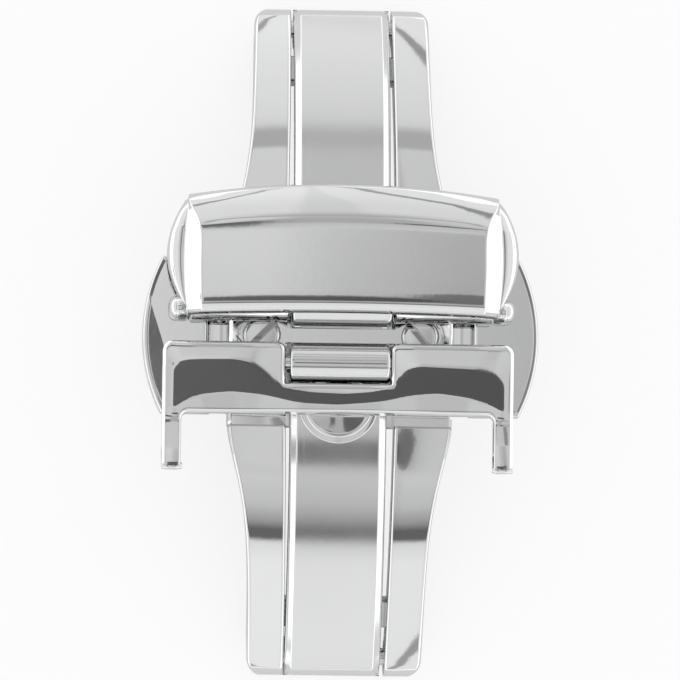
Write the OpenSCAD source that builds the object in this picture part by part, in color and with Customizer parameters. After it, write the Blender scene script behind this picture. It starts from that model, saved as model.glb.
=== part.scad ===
// Double fold deployant clasp for a watch strap, closed, standing on its four rail tips.
// +Z is away from the wrist, +Y runs along the strap towards the cover, +X is to the right.

/* [Arch] */
// Distance from the middle of the clasp to each end pin
end_y = 18.4; // [17.5:0.1:20]
// Radius of the rounded eye at the tip of each rail
eye_r = 1.15; // [1.1:0.05:1.3]
// Outer radius of the arch
arch_r = 22; // [21:0.5:26]
// Radial depth of the side rails
rail_t = 2.0; // [1.9:0.05:2.2]
// Half width over the rails where they meet the block
rail_root_x = 6.5; // [6.3:0.05:6.8]
// Half width over the rails at their tips
rail_tip_x = 5.1; // [4.9:0.05:5.4]
// Half width of the slot between the rails at their tips
slot_tip_x = 2.93; // [2.9:0.01:2.96]
// Half width of the slot between the rails at the block
slot_root_x = 3.15; // [3.1:0.01:3.2]
// Radius of the end pins
end_pin_r = 0.5; // [0.45:0.01:0.55]
// Distance from the middle of the clasp to each tie bar
tie_y = 15.6; // [15:0.1:16]
// Width of a tie bar along the arch
tie_w = 1.8; // [1.4:0.1:2]

/* [Blades] */
// Half width of the folding blades
blade_x = 2.8; // [2.6:0.05:2.8]
// Thickness of the folding blades
blade_t = 1.0; // [0.9:0.05:1]
// Width of the bevel along each upper edge
bevel_w = 0.42; // [0.2:0.02:0.6]
// Depth of the bevel along each upper edge
bevel_t = 0.28; // [0.1:0.02:0.4]
// Distance of each barrel's axis from the middle
barrel_y = 1.62; // [1.6:0.01:1.7]
// Height of the barrels' axes above the block
barrel_h = 0.95; // [0.95:0.01:1]
// Radius of the barrels at the blade tips
barrel_r = 1.15; // [1.1:0.01:1.15]
// Half length of the barrels
barrel_x = 3.0; // [2.9:0.05:3]
// Radius of the hinge pins in the barrels
hinge_pin_r = 0.4; // [0.35:0.01:0.45]

/* [Block] */
// Half length of the block
block_y = 5.2; // [5.1:0.05:5.3]
// Depth of the block
block_t = 2.55; // [2.55:0.01:2.6]
// Depth of the channel that the blades lie in
channel_t = 1.05; // [1.05:0.01:1.1]
// Half width of the bridge between the two channels
bridge_y = 0.4; // [0.3:0.05:0.42]
// Thickness of the back plate
back_t = 0.8; // [0.6:0.05:1]
// Half width of the back plate
back_x = 8.9; // [8.6:0.1:9.2]
// Distance of each block screw from the middle
screw_x = 4.6; // [4.5:0.05:4.7]
// Radius of the screw heads
screw_r = 1.1; // [1:0.05:1.1]

/* [Catches] */
// Distance of each catch stud from the middle
stud_y = 3.9; // [3.85:0.05:3.95]
// Radius of the studs' round heads
stud_head_r = 2.35; // [2.2:0.05:2.4]
// Radius of the studs' shanks
stud_r = 0.6; // [0.5:0.05:0.6]

/* [Buttons] */
// Distance of each button's inner edge from the middle
ear_in_x = 7.85; // [7.6:0.05:8]
// Distance of each button's outermost point from the middle
ear_out_x = 11.5; // [11.2:0.1:12]
// Half length of each button
ear_y = 4.55; // [4.4:0.05:4.7]
// Bulge of each button's outer arc
ear_bulge = 1.1; // [0.8:0.1:1.4]
// Inward travel of each button
press = 0.8; // [0.6:0.05:0.8]
// Diameter of the button springs' wire
wire_d = 0.14; // [0.1:0.01:0.14]
// Turns of each button spring
spring_turns = 5; // [4:1:5]

/* [Cover] */
// Height of the cover above the block
cover_h = 3.1; // [3:0.05:3.3]
// Largest half width of the cover
cover_x = 10.17; // [10.1:0.01:10.4]
// How much narrower each side is at the ends
cover_waist = 1.0; // [0.8:0.05:1.05]
// Distance of the far edge from the middle of the clasp
cover_far_y = 8.7; // [8.5:0.05:8.8]
// How far the far edge's corners fall back
cover_far_sag = 1.1; // [0.8:0.05:1.2]
// Distance of the cover's lug holes from the middle
cover_lug_y = 6.8; // [6.7:0.05:6.9]
// Height of the cover's lug holes above the block
cover_lug_h = 1.2; // [1.15:0.05:1.25]

/* [Strap fork] */
// Half width over the prongs
fork_x = 10.15; // [10:0.05:10.3]
// Half width of the gap between the prongs
strap_gap_x = 9.2; // [9.1:0.05:9.25]
// Half width of the gap between the prongs' feet
foot_gap_x = 9.05; // [8.95:0.01:9.15]
// Distance of the prongs' lug holes from the middle
fork_lug_y = 7.1; // [6.9:0.05:7.3]
// Radius of the rounded feet
foot_r = 0.85; // [0.8:0.05:0.9]
// Distance of the plate's outer edge from the middle
plate_edge_y = 4.52; // [4.4:0.02:4.6]
// Radius of the lug holes for spring bars
lug_hole_r = 0.55; // [0.5:0.01:0.6]

/* [Hidden] */
$fn = 64;

steel = [0.80, 0.80, 0.81];
dark_steel = [0.62, 0.62, 0.64];
spring_steel = [0.55, 0.56, 0.58];

// Fits and clearances
fixed_fit = 0.01;
running_fit = 0.03;
knuckle_gap = 0.07;
slide_gap = 0.05;
over = 1;
// How far joined solids reach into each other
bite = 0.1;

// The arch: both arcs share one centre above the wrist, tangent to the rail eyes
reach_y = end_y - block_y;
arch_z = eye_r - sqrt(pow(arch_r - eye_r, 2) - pow(reach_y, 2));
arch_angle = asin(reach_y / (arch_r - eye_r));
top_z = arch_z + arch_r;
tip_y = end_y + eye_r;
flare_length = 4.2;
flare_power = 1.6;
rail_taper = 0.15;
tie_t = 0.7;
tie_angle = asin((tie_y - block_y) / (arch_r - rail_t));
tie_half = 3.7;
// How deep a tie bar and an end pin lie below the rails' skin
tie_sink = 0.05;
end_pin_sink = 0.1;
rail_corner_r = 0.7;

barrel_z = top_z + barrel_h;
knuckle_r = 0.88;
cover_knuckle_x = 8.8;
lobe_r = 0.66;
lobe_x = 9.95;
cover_pin_x = 9.85;
fork_pin_x = 9.9;
blade_tip_y = 0.5;
barrel_end_x = barrel_x + slide_gap;

// The block's inner levels, measured down from its face
tunnel_t = 1.40;
left_arm_t = 1.95;
right_arm_t = 2.50;
arm_t = 0.50;
arm_in_y = 1.95;
arm_out_y = 2.95;
finger_y = 4.3;
finger_w = 0.8;
lip_gap = 0.05;
ear_top_t = 0.45;
ear_t = 2.05;
guide_x = 3.6;
guide_r = 0.22;
guide_top_t = 0.95;
peg_r = 0.22;
peg_length = 0.5;
spring_y = 1.25;
neck_y = 0.55;
neck_tip_x = 6.1;
neck_top_t = 0.95;
neck_t = 0.6;
spring_t = 1.3;
spring_r = 0.38;
pocket_r = 0.55;
pocket_x = 4.9;
tongue_w = 2.2;
tongue_t = 0.65;
tongue_top_t = 0.45;
tongue_y = 1.0;
tongue_x = 4.8;
tongue_root = 0.5;
screw_head_t = 0.5;
screw_shank_r = 0.5;
screw_depth = 3.0;
screw_sink = 0.03;
back_corner_r = 1.6;
back_wing_y = 4.4;
slot_w = 0.32;
slot_t = 0.25;
right_slot_angle = -50;
left_slot_angle = -45;
stud_head_t = 0.35;
stud_disc_r = 2.0;
stud_disc_t = 0.08;
stud_depth = 2.5;
stud_neck_r = 0.4;
stud_flat_y = 1.25;
stud_collar_t = 0.3;
stud_foot_t = 0.25;
stud_gap = 0.15;

// The cover's side profile, as [distance from the middle, height above the block]
rim_y = 1.62;
rim_h = 2.42;
rim_r = 0.32;
face_near_y = 2.1;
face_far_y = 6.6;
face_crown = 0.15;
face_h = cover_h - face_crown;
wall_foot_y = 1.45;
bevel_mid_y = face_far_y + 0.8;
bevel_mid_h = face_h - 0.25;
bevel_far_y = face_far_y + 1.5;
bevel_far_h = face_h - 0.6;
far_lip_h = 1.85;
far_under_h = 1.55;
lip_in_y = 0.6;
lip_in_h = far_under_h - 0.2;
side_bottom_y = 3.3;
side_bottom_h = 0.32;
side_near_y = 2.4;
side_near_h = 0.65;
lug_r = 0.9;
facet_x = 8.3;
facet_out_x = 9.35;
facet_out_h = 2.35;
rim_out_h = 1.75;
wall_t = 0.75;
cavity_y = 2.55;
cavity_corner = 0.15;
cavity_flat_y = [3.1, 6.4];
knuckle_wall_y = 0.2;
knuckle_wall_x = 0.5;

// The fork's face leans a little towards its prongs
fork_lean = 3.6;
face_rise = 1.0;
fork_knuckle_r = 1.12;
plate_in_y = 0.49;
plate_waist_y = 0.56;
plate_foot_y = 0.62;
plate_waist_h = 0.35;
plate_shoulder_h = 0.72;
plate_chamfer = 0.15;
knuckle_under_y = 0.3;
prong_root_x = 8.7;
prong_root_y = 3.9;
plate_under_h = 0.55;
plate_edge_r = 0.42;
fillet_r = 0.4;
fillet_root = 0.3;

// Points of an arc from angle a to angle b
function arc(cy, cz, r, a, b, n = 12) =
    [for (i = [0:n]) let (t = a + (b - a) * i / n) [cy + r * cos(t), cz + r * sin(t)]];

// Half width over the rails at a distance y from the middle: a bell flare that settles to the tips
function rail_out_x(y) =
    let (flare = exp(-pow(max(y - block_y, 0) / flare_length, flare_power)),
         taper = rail_taper * (tip_y - y) / (tip_y - block_y))
    rail_tip_x + taper + (rail_root_x - rail_tip_x - rail_taper) * flare;

// Half width of the slot between the rails at a distance y from the middle
function slot_x(y) =
    slot_tip_x + (slot_root_x - slot_tip_x) * (tip_y - y) / (tip_y - block_y);

// Half width of the cover at a distance y from the middle, a shallow parabola
function cover_half_x(y) =
    let (mid = (rim_y + cover_far_y - cover_far_sag) / 2, half = mid - rim_y)
    cover_x - cover_waist * pow((y - mid) / half, 2);

// Far edge of the cover at a distance x to the side, a shallow parabola
function cover_edge_y(x) = cover_far_y - cover_far_sag * pow(x / (cover_x - cover_waist), 2);

// A rod along X between x0 and x1 at a given y and z
module x_rod(r, x0, x1, y, z) {
    translate([x0, y, z])
        rotate([0, 90, 0])
            cylinder(r = r, h = x1 - x0);
}

// A profile in Y and Z, extruded along X over the width w
module along_x(w) {
    rotate([90, 0, 90])
        linear_extrude(w, center = true)
            children();
}

// A box given by its lowest and highest corners
module box(low, high) {
    translate(low)
        cube(high - low);
}

// A section swept along the arch from the block to the end pin's radius
module arch_sweep() {
    translate([0, block_y, arch_z])
        rotate([0, -90, 0])
            rotate_extrude(angle = arch_angle, $fn = 180)
                children();
}

// Both of a piece and its mirror image across the plane y = 0
module both_ends() {
    children();
    mirror([0, 1, 0])
        children();
}

// Both of a piece and its mirror image across the plane x = 0
module both_sides() {
    children();
    mirror([1, 0, 0])
        children();
}

// The tie bar's own shape, grown by a gap where it cuts its seat
module tie_shape(gap) {
    translate([0, block_y, arch_z])
        rotate([-tie_angle, 0, 0])
            translate([-tie_half - gap, -tie_w / 2 - gap, arch_r - rail_t + tie_sink - gap])
                cube([2 * (tie_half + gap), tie_w + 2 * gap, tie_t + 2 * gap]);
}

// Plan of one rail, from the block to its rounded tip
module rail_plan() {
    steps = 24;
    corner = rail_corner_r;
    out_x = rail_out_x(tip_y);
    polygon(concat(
        [[slot_x(block_y), block_y]],
        [for (i = [0:steps]) let (y = block_y + (tip_y - corner - block_y) * i / steps)
            [rail_out_x(y), y]],
        arc(out_x - corner, tip_y - corner, corner, 0, 90, 6),
        [[slot_x(tip_y), tip_y]]));
}

// One side rail: an arched bar with a pin eye at its tip and a tongue that enters the block
module rail() {
    difference() {
        union() {
            intersection() {
                union() {
                    arch_sweep()
                        translate([arch_r - rail_t, -rail_root_x - over])
                            square([rail_t, rail_root_x + over]);
                    x_rod(eye_r, 0, rail_root_x, end_y, eye_r);
                }
                linear_extrude(top_z + over)
                    rail_plan();
            }
            box([tongue_x - tongue_w / 2, block_y - tongue_y, top_z - tongue_top_t - tongue_t],
                [tongue_x + tongue_w / 2, block_y + tongue_root, top_z - tongue_top_t]);
        }
        x_rod(end_pin_r + fixed_fit, 0, rail_root_x, end_y, eye_r);
        tie_shape(fixed_fit);
    }
}

module upper_right_rail() {
    color(steel)
        rail();
}

module upper_left_rail() {
    color(steel)
        mirror([1, 0, 0])
            rail();
}

module lower_right_rail() {
    color(steel)
        mirror([0, 1, 0])
            rail();
}

module lower_left_rail() {
    color(steel)
        rotate([0, 0, 180])
            rail();
}

// A pin through the eyes of two rails and the blade between them
module end_pin() {
    half = rail_tip_x - end_pin_sink;
    x_rod(end_pin_r, -half, half, end_y, eye_r);
}

module upper_end_pin() {
    color(dark_steel)
        end_pin();
}

module lower_end_pin() {
    color(dark_steel)
        mirror([0, 1, 0])
            end_pin();
}

module upper_tie_bar() {
    color(dark_steel)
        tie_shape(0);
}

module lower_tie_bar() {
    color(dark_steel)
        mirror([0, 1, 0])
            tie_shape(0);
}

// Everything that is cut out of the block at its +Y end
module block_cuts() {
    // Channel for the blade, from the bridge out
    box([-slot_root_x, bridge_y, top_z - channel_t], [slot_root_x, block_y + over, top_z + over]);
    // Groove that the hinge barrels and knuckles turn in
    x_rod(barrel_r + knuckle_gap, -rail_root_x - over, rail_root_x + over, barrel_y, barrel_z);
    // Tunnel for the arms of both buttons, closed below by the back plate
    box([-rail_root_x - over, arm_in_y - slide_gap, top_z - block_t - over],
        [rail_root_x + over, finger_y + 2 * slide_gap, top_z - tunnel_t]);
    // Slot that the catch stud swings out through
    box([-stud_r - stud_gap, stud_y - stud_r - bite, top_z - block_t - over],
        [stud_r + stud_gap, block_y + over, top_z - channel_t + bite]);
    both_sides() {
        // Socket of a rail's tongue
        box([tongue_x - tongue_w / 2 - fixed_fit, block_y - tongue_y - fixed_fit,
             top_z - tongue_top_t - tongue_t - fixed_fit],
            [tongue_x + tongue_w / 2 + fixed_fit, block_y + over,
             top_z - tongue_top_t + fixed_fit]);
        // Pocket of a button spring
        x_rod(pocket_r, pocket_x, rail_root_x + over, spring_y, top_z - spring_t);
        // Slot that a button's neck slides in
        box([neck_tip_x - press - slide_gap, -over, top_z - neck_top_t - neck_t - slide_gap],
            [rail_root_x + over, neck_y + slide_gap, top_z - neck_top_t + slide_gap]);
        // Hole of a guide pin
        translate([guide_x, (arm_in_y + arm_out_y) / 2, top_z - guide_top_t - fixed_fit])
            mirror([0, 0, 1])
                cylinder(r = guide_r + fixed_fit, h = block_t);
    }
}

// The middle block: it carries the four rails and houses the catches
module center_block() {
    color(steel)
        difference() {
            box([-rail_root_x, -block_y, top_z - block_t], [rail_root_x, block_y, top_z]);
            both_ends()
                block_cuts();
            both_sides()
                translate([screw_x, 0, top_z]) {
                    translate([0, 0, -screw_head_t - fixed_fit])
                        cylinder(r = screw_r + fixed_fit, h = screw_head_t + over);
                    translate([0, 0, -block_t - over])
                        cylinder(r = screw_shank_r + fixed_fit, h = block_t + over);
                }
        }
}

// The plate against the wrist, with rounded corners and two screw holes
module back_plate() {
    corner = back_corner_r;
    color(steel)
        translate([0, 0, top_z - block_t - back_t])
            difference() {
                union() {
                    linear_extrude(back_t)
                        union() {
                            square([2 * rail_root_x, 2 * block_y], center = true);
                            square([2 * (back_x - corner), 2 * back_wing_y], center = true);
                            square([2 * back_x, 2 * (back_wing_y - corner)], center = true);
                        }
                    both_ends()
                        both_sides()
                            translate([back_x - corner, back_wing_y - corner, 0])
                                cylinder(r = corner, h = back_t);
                }
                both_sides()
                    translate([screw_x, 0, block_t + back_t - screw_depth - fixed_fit])
                        cylinder(r = screw_shank_r + fixed_fit, h = back_t);
            }
}

// A slotted screw, its head sunk flush with the block
module block_screw(slot_angle) {
    translate([screw_x, 0, top_z])
        difference() {
            union() {
                translate([0, 0, -screw_head_t])
                    cylinder(r = screw_r, h = screw_head_t - screw_sink);
                translate([0, 0, -screw_depth])
                    cylinder(r = screw_shank_r, h = screw_depth - bite);
            }
            rotate([0, 0, slot_angle])
                box([-screw_r - over, -slot_w / 2, -slot_t],
                    [screw_r + over, slot_w / 2, over]);
        }
}

module right_block_screw() {
    color(dark_steel)
        block_screw(right_slot_angle);
}

module left_block_screw() {
    color(dark_steel)
        mirror([1, 0, 0])
            block_screw(left_slot_angle);
}

// Two short pins that stop a button's arms at the ends of their travel
module guide_pins() {
    both_ends()
        translate([guide_x, (arm_in_y + arm_out_y) / 2, top_z - block_t])
            cylinder(r = guide_r, h = block_t - guide_top_t);
}

module right_guide_pins() {
    color(dark_steel)
        guide_pins();
}

module left_guide_pins() {
    color(dark_steel)
        mirror([1, 0, 0])
            guide_pins();
}

// Cross section of a blade with a bevel along each upper edge, its face at the given height
module blade_section(face) {
    flat = blade_x - bevel_w;
    polygon([[face - blade_t, -blade_x], [face - bevel_t, -blade_x], [face, -flat],
             [face, flat], [face - bevel_t, blade_x], [face - blade_t, blade_x]]);
}

// A folding blade: an eye on the end pin, an arched leaf and a hinge barrel at its inner tip
module blade() {
    difference() {
        union() {
            arch_sweep()
                blade_section(arch_r);
            translate([0, block_y, 0])
                rotate([0, -90, 90])
                    linear_extrude(block_y - blade_tip_y)
                        blade_section(top_z);
            x_rod(eye_r - running_fit, -blade_x, blade_x, end_y, eye_r);
            x_rod(barrel_r, -barrel_x, barrel_x, barrel_y, barrel_z);
        }
        x_rod(end_pin_r + running_fit, -blade_x - over, blade_x + over, end_y, eye_r);
        x_rod(hinge_pin_r + running_fit, -barrel_x - over, barrel_x + over, barrel_y, barrel_z);
        translate([0, stud_y, top_z - block_t])
            cylinder(r = stud_r + fixed_fit, h = block_t + over);
    }
}

module upper_blade() {
    color(steel)
        blade();
}

module lower_blade() {
    color(steel)
        mirror([0, 1, 0])
            blade();
}

// A catch stud: a round head with a flat against the barrel, and a necked shank under the blade
module catch_stud() {
    translate([0, stud_y, top_z])
        difference() {
            union() {
                cylinder(r = stud_head_r, h = stud_head_t - stud_disc_t);
                cylinder(r = stud_disc_r, h = stud_head_t);
                translate([0, 0, -blade_t - stud_collar_t])
                    cylinder(r = stud_r, h = blade_t + stud_collar_t + bite);
                translate([0, 0, -stud_depth])
                    cylinder(r = stud_neck_r, h = stud_depth);
                translate([0, 0, -stud_depth])
                    cylinder(r = stud_r, h = stud_foot_t);
            }
            box([-stud_head_r - over, -stud_head_r - over, -over],
                [stud_head_r + over, -stud_flat_y, over]);
        }
}

module upper_catch_stud() {
    color(steel)
        catch_stud();
}

module lower_catch_stud() {
    color(steel)
        mirror([0, 1, 0])
            catch_stud();
}

// A release button: the curved ear outside, a guide neck that slides in the block's side, and two
// hooked arms that reach past the catch studs
module button(arm_bottom_t) {
    arc_r = (pow(ear_y, 2) + pow(ear_bulge, 2)) / (2 * ear_bulge);
    tip_x = -stud_r - lip_gap - finger_w;
    arm_z = top_z - arm_bottom_t;
    difference() {
        union() {
            translate([0, 0, top_z - ear_top_t - ear_t])
                linear_extrude(ear_t)
                    intersection() {
                        translate([ear_in_x, -ear_y])
                            square([ear_out_x - ear_in_x, 2 * ear_y]);
                        translate([ear_out_x - arc_r, 0])
                            circle(r = arc_r, $fn = 180);
                    }
            box([neck_tip_x, -neck_y, top_z - neck_top_t - neck_t],
                [ear_in_x + bite, neck_y, top_z - neck_top_t]);
            both_ends() {
                box([tip_x, arm_in_y, arm_z], [ear_in_x + bite, arm_out_y, arm_z + arm_t]);
                box([tip_x, arm_out_y - bite, arm_z], [tip_x + finger_w, finger_y, arm_z + arm_t]);
                x_rod(peg_r, ear_in_x - peg_length, ear_in_x + bite, spring_y, top_z - spring_t);
            }
        }
        both_ends()
            translate([guide_x, (arm_in_y + arm_out_y) / 2, arm_z - over]) {
                cylinder(r = guide_r + running_fit, h = 3 * over);
                translate([press, 0, 0])
                    cylinder(r = guide_r + running_fit, h = 3 * over);
                translate([0, -guide_r - running_fit, 0])
                    cube([press, 2 * (guide_r + running_fit), 3 * over]);
            }
    }
}

module right_button() {
    color(steel)
        button(right_arm_t);
}

module left_button() {
    color(steel)
        mirror([1, 0, 0])
            button(left_arm_t);
}

// The coil springs: one unbroken wire each, on a helix along X
helix_steps = 12;
wire_sides = 6;
coil_gap = 0.02;
helix_x0 = pocket_x + wire_d / 2 + coil_gap;
helix_x1 = ear_in_x - wire_d / 2 - coil_gap;
spring_pitch = (helix_x1 - helix_x0) / spring_turns;
helix_slope = atan(spring_pitch / (2 * PI * spring_r));

// Centre of the wire after a number of turns
function helix_point(turn) =
    [helix_x0 + spring_pitch * turn, spring_r * cos(360 * turn), spring_r * sin(360 * turn)];

// One point of the wire's skin: a ring of the wire's radius, square to the helix
function wire_point(turn, side) =
    let (a = 360 * turn, b = 360 * side / wire_sides, r = wire_d / 2,
         out = [0, cos(a), sin(a)],
         binormal = [cos(helix_slope), sin(helix_slope) * sin(a), -sin(helix_slope) * cos(a)])
    helix_point(turn) + r * cos(b) * out + r * sin(b) * binormal;

// Least gap between one point of the wire and the wire from half a turn further on
spring_gap = min([for (i = [helix_steps / 2:3 * helix_steps / 2])
    norm(helix_point(i / helix_steps) - helix_point(0)) - wire_d]);
echo(least_gap_of_a_button_spring_mm = spring_gap);

module button_spring() {
    rings = helix_steps * spring_turns;
    points = [for (i = [0:rings], s = [0:wire_sides - 1]) wire_point(i / helix_steps, s)];
    skin = [for (i = [0:rings - 1], s = [0:wire_sides - 1])
        let (n = wire_sides, a = i * n + s, b = i * n + (s + 1) % n)
        each [[a, b, b + n], [a, b + n, a + n]]];
    start = [for (s = [1:wire_sides - 2]) [0, s + 1, s]];
    last = rings * wire_sides;
    end = [for (s = [1:wire_sides - 2]) [last, last + s, last + s + 1]];
    translate([0, spring_y, top_z - spring_t])
        polyhedron(points, concat(skin, start, end));
}

module right_upper_spring() {
    color(spring_steel)
        button_spring();
}

module right_lower_spring() {
    color(spring_steel)
        translate([0, -2 * spring_y, 0])
            button_spring();
}

module left_upper_spring() {
    color(spring_steel)
        rotate([0, 0, 180])
            translate([0, -2 * spring_y, 0])
                button_spring();
}

module left_lower_spring() {
    color(spring_steel)
        rotate([0, 0, 180])
            button_spring();
}

// Side profile of the cover: near wall, rolled rim, crowned face, long bevel, lug and lower edge
module cover_profile() {
    crown = face_crown;
    half = (face_far_y - face_near_y) / 2;
    crown_r = (pow(half, 2) + pow(crown, 2)) / (2 * crown);
    crown_a = asin(half / crown_r);
    mid = (face_far_y + face_near_y) / 2;
    lip_y = cover_far_y;
    polygon(concat(
        [[wall_foot_y, barrel_h]],
        arc(rim_y, rim_h, rim_r, 200, 110, 6),
        arc(mid, cover_h - crown_r, crown_r, 90 + crown_a, 90 - crown_a, 10),
        [[bevel_mid_y, bevel_mid_h], [bevel_far_y, bevel_far_h],
         [lip_y, far_lip_h], [lip_y - bite, far_under_h], [lip_y - lip_in_y, lip_in_h]],
        arc(cover_lug_y, cover_lug_h, lug_r, 0, -90, 8),
        [[side_bottom_y, side_bottom_h], [side_near_y, side_near_h]]));
}

// Hollow under the cover, open to the far edge where the strap leaves it
module cover_cavity() {
    top = cover_h - wall_t;
    far_h = far_under_h - cavity_corner;
    polygon([[cavity_y, -over], [cavity_y, top - cavity_corner], [cavity_flat_y[0], top],
             [cavity_flat_y[1], top], [cover_far_y, far_h],
             [cover_far_y + over, far_h - lip_in_y], [cover_far_y + over, -over]]);
}

// Plan of the cover: straight near edge, bulging sides and an arched far edge
module cover_plan() {
    steps = 16;
    far_corner_y = cover_far_y - cover_far_sag;
    corner_x = cover_half_x(far_corner_y);
    polygon(concat(
        [for (i = [0:steps]) let (y = rim_y - rim_r + (far_corner_y - rim_y + rim_r) * i / steps)
            [cover_half_x(y), y]],
        [for (i = [1:2 * steps - 1]) let (x = corner_x - 2 * corner_x * i / (2 * steps))
            [x, cover_edge_y(x)]],
        [for (i = [steps:-1:0])
            let (y = rim_y - rim_r + (far_corner_y - rim_y + rim_r) * i / steps)
            [-cover_half_x(y), y]]));
}

// Cross section of the cover: the face, its side facets and the rims below them
module cover_section() {
    side = [[facet_x, cover_h], [facet_out_x, facet_out_h], [cover_x, rim_out_h], [cover_x, 0]];
    polygon(concat(side, [for (i = [len(side) - 1:-1:0]) [-side[i][0], side[i][1]]]));
}

// The strap cover: a pillow shaped shell with two hinge knuckles and two drilled side walls
module cover() {
    color(steel)
        translate([0, 0, top_z])
            difference() {
                union() {
                    difference() {
                        intersection() {
                            along_x(2 * cover_x)
                                cover_profile();
                            linear_extrude(cover_h + over)
                                cover_plan();
                            translate([0, cover_far_y + over, 0])
                                rotate([90, 0, 0])
                                    linear_extrude(cover_far_y + over)
                                        cover_section();
                        }
                        along_x(2 * strap_gap_x)
                            cover_cavity();
                    }
                    both_sides() {
                        x_rod(knuckle_r, barrel_end_x, cover_knuckle_x, barrel_y, barrel_h);
                        x_rod(lobe_r, cover_knuckle_x - bite, lobe_x, barrel_y, barrel_h);
                        box([strap_gap_x, barrel_y - knuckle_wall_y, barrel_h],
                            [lobe_x - knuckle_wall_x, cavity_y, rim_h - knuckle_wall_y]);
                    }
                }
                x_rod(barrel_r + knuckle_gap, -barrel_end_x, barrel_end_x, barrel_y, barrel_h);
                box([-barrel_end_x, 0, -over], [barrel_end_x, cavity_y + bite, barrel_h]);
                x_rod(hinge_pin_r + fixed_fit, -cover_x, cover_x, barrel_y, barrel_h);
                x_rod(lug_hole_r, -cover_x - over, cover_x + over, cover_lug_y, cover_lug_h);
            }
}

module cover_hinge_pin() {
    color(dark_steel)
        x_rod(hinge_pin_r, -cover_pin_x, cover_pin_x, barrel_y, barrel_z);
}

// Height of the fork's face above the block at a distance y from the middle
function fork_face(y) = barrel_h + face_rise - (y - plate_in_y) * tan(fork_lean);

// The fork's hinge edge: a waist that clears the block when the fork is up, and a small chamfer
function inner_edge() =
    let (cut = plate_chamfer)
    [[plate_foot_y, barrel_h], [plate_waist_y, barrel_h + plate_waist_h],
     [plate_in_y, barrel_h + plate_shoulder_h], [plate_in_y, fork_face(plate_in_y) - cut],
     [plate_in_y + cut, fork_face(plate_in_y + cut)]];

// Side profile of the fork's plate: a flat face from the hinge edge to the round outer edge
module plate_profile() {
    edge_y = plate_edge_y - plate_edge_r;
    polygon(concat(
        inner_edge(),
        arc(edge_y, fork_face(edge_y) - plate_edge_r, plate_edge_r, 90, 0, 8),
        arc(edge_y, plate_under_h + plate_edge_r, plate_edge_r, 0, -90, 8),
        [[barrel_y + knuckle_under_y, barrel_h - fork_knuckle_r]]));
}

// Side profile of a prong, from the hinge edge to its rounded foot
module prong_profile() {
    polygon(concat(
        inner_edge(),
        [[plate_edge_y, fork_face(plate_edge_y)], [fork_lug_y, barrel_h + foot_r],
         [fork_lug_y, barrel_h - foot_r], [barrel_y, barrel_h - fork_knuckle_r]]));
}

// Rounded inner corner between the plate and a prong
module prong_fillet() {
    translate([strap_gap_x - fillet_r, plate_edge_y - fillet_root, plate_under_h + 2 * bite])
        linear_extrude(fork_face(plate_edge_y) - plate_under_h - 3 * bite)
            difference() {
                square([fillet_r + bite, fillet_r + fillet_root]);
                translate([0, fillet_r + fillet_root])
                    circle(r = fillet_r);
            }
}

// The strap fork, drawn at its +Y place: a rolled plate with two prongs ending in drilled feet
module fork_shape() {
    difference() {
        union() {
            x_rod(fork_knuckle_r, -fork_x, fork_x, barrel_y, barrel_h);
            along_x(2 * fork_x)
                plate_profile();
            both_sides() {
                translate([(strap_gap_x + fork_x) / 2, 0, 0])
                    along_x(fork_x - strap_gap_x)
                        prong_profile();
                x_rod(foot_r, foot_gap_x, fork_x, fork_lug_y, barrel_h);
                prong_fillet();
            }
        }
        box([-barrel_end_x, 0, -over], [barrel_end_x, barrel_y + barrel_r + knuckle_gap, cover_h]);
        translate([0, stud_y, -over])
            cylinder(r = stud_head_r + stud_gap, h = over + stud_head_t + stud_gap);
        x_rod(hinge_pin_r + fixed_fit, -fork_x - over, fork_x + over, barrel_y, barrel_h);
        x_rod(lug_hole_r, -fork_x - over, fork_x + over, fork_lug_y, barrel_h);
    }
}

// The corner of the fork that a prong takes up, from its root in the plate to its foot
module prong_zone() {
    box([prong_root_x, prong_root_y, -over], [fork_x + over, fork_lug_y + over, cover_h]);
}

module strap_fork() {
    color(steel)
        translate([0, 0, top_z])
            mirror([0, 1, 0])
                difference() {
                    fork_shape();
                    both_sides()
                        prong_zone();
                }
}

// One prong of the fork, with its fillet and its drilled foot
module prong() {
    translate([0, 0, top_z])
        mirror([0, 1, 0])
            intersection() {
                fork_shape();
                prong_zone();
            }
}

module right_prong() {
    color(steel)
        prong();
}

module left_prong() {
    color(steel)
        mirror([1, 0, 0])
            prong();
}

module fork_hinge_pin() {
    color(dark_steel)
        x_rod(hinge_pin_r, -fork_pin_x, fork_pin_x, -barrel_y, barrel_z);
}

center_block();
back_plate();
upper_left_rail();
upper_right_rail();
lower_left_rail();
lower_right_rail();
upper_end_pin();
lower_end_pin();
upper_tie_bar();
lower_tie_bar();
left_block_screw();
right_block_screw();
left_guide_pins();
right_guide_pins();
upper_blade();
lower_blade();
upper_catch_stud();
lower_catch_stud();
cover();
cover_hinge_pin();
strap_fork();
left_prong();
right_prong();
fork_hinge_pin();
left_button();
right_button();
left_upper_spring();
left_lower_spring();
right_upper_spring();
right_lower_spring();
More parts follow.
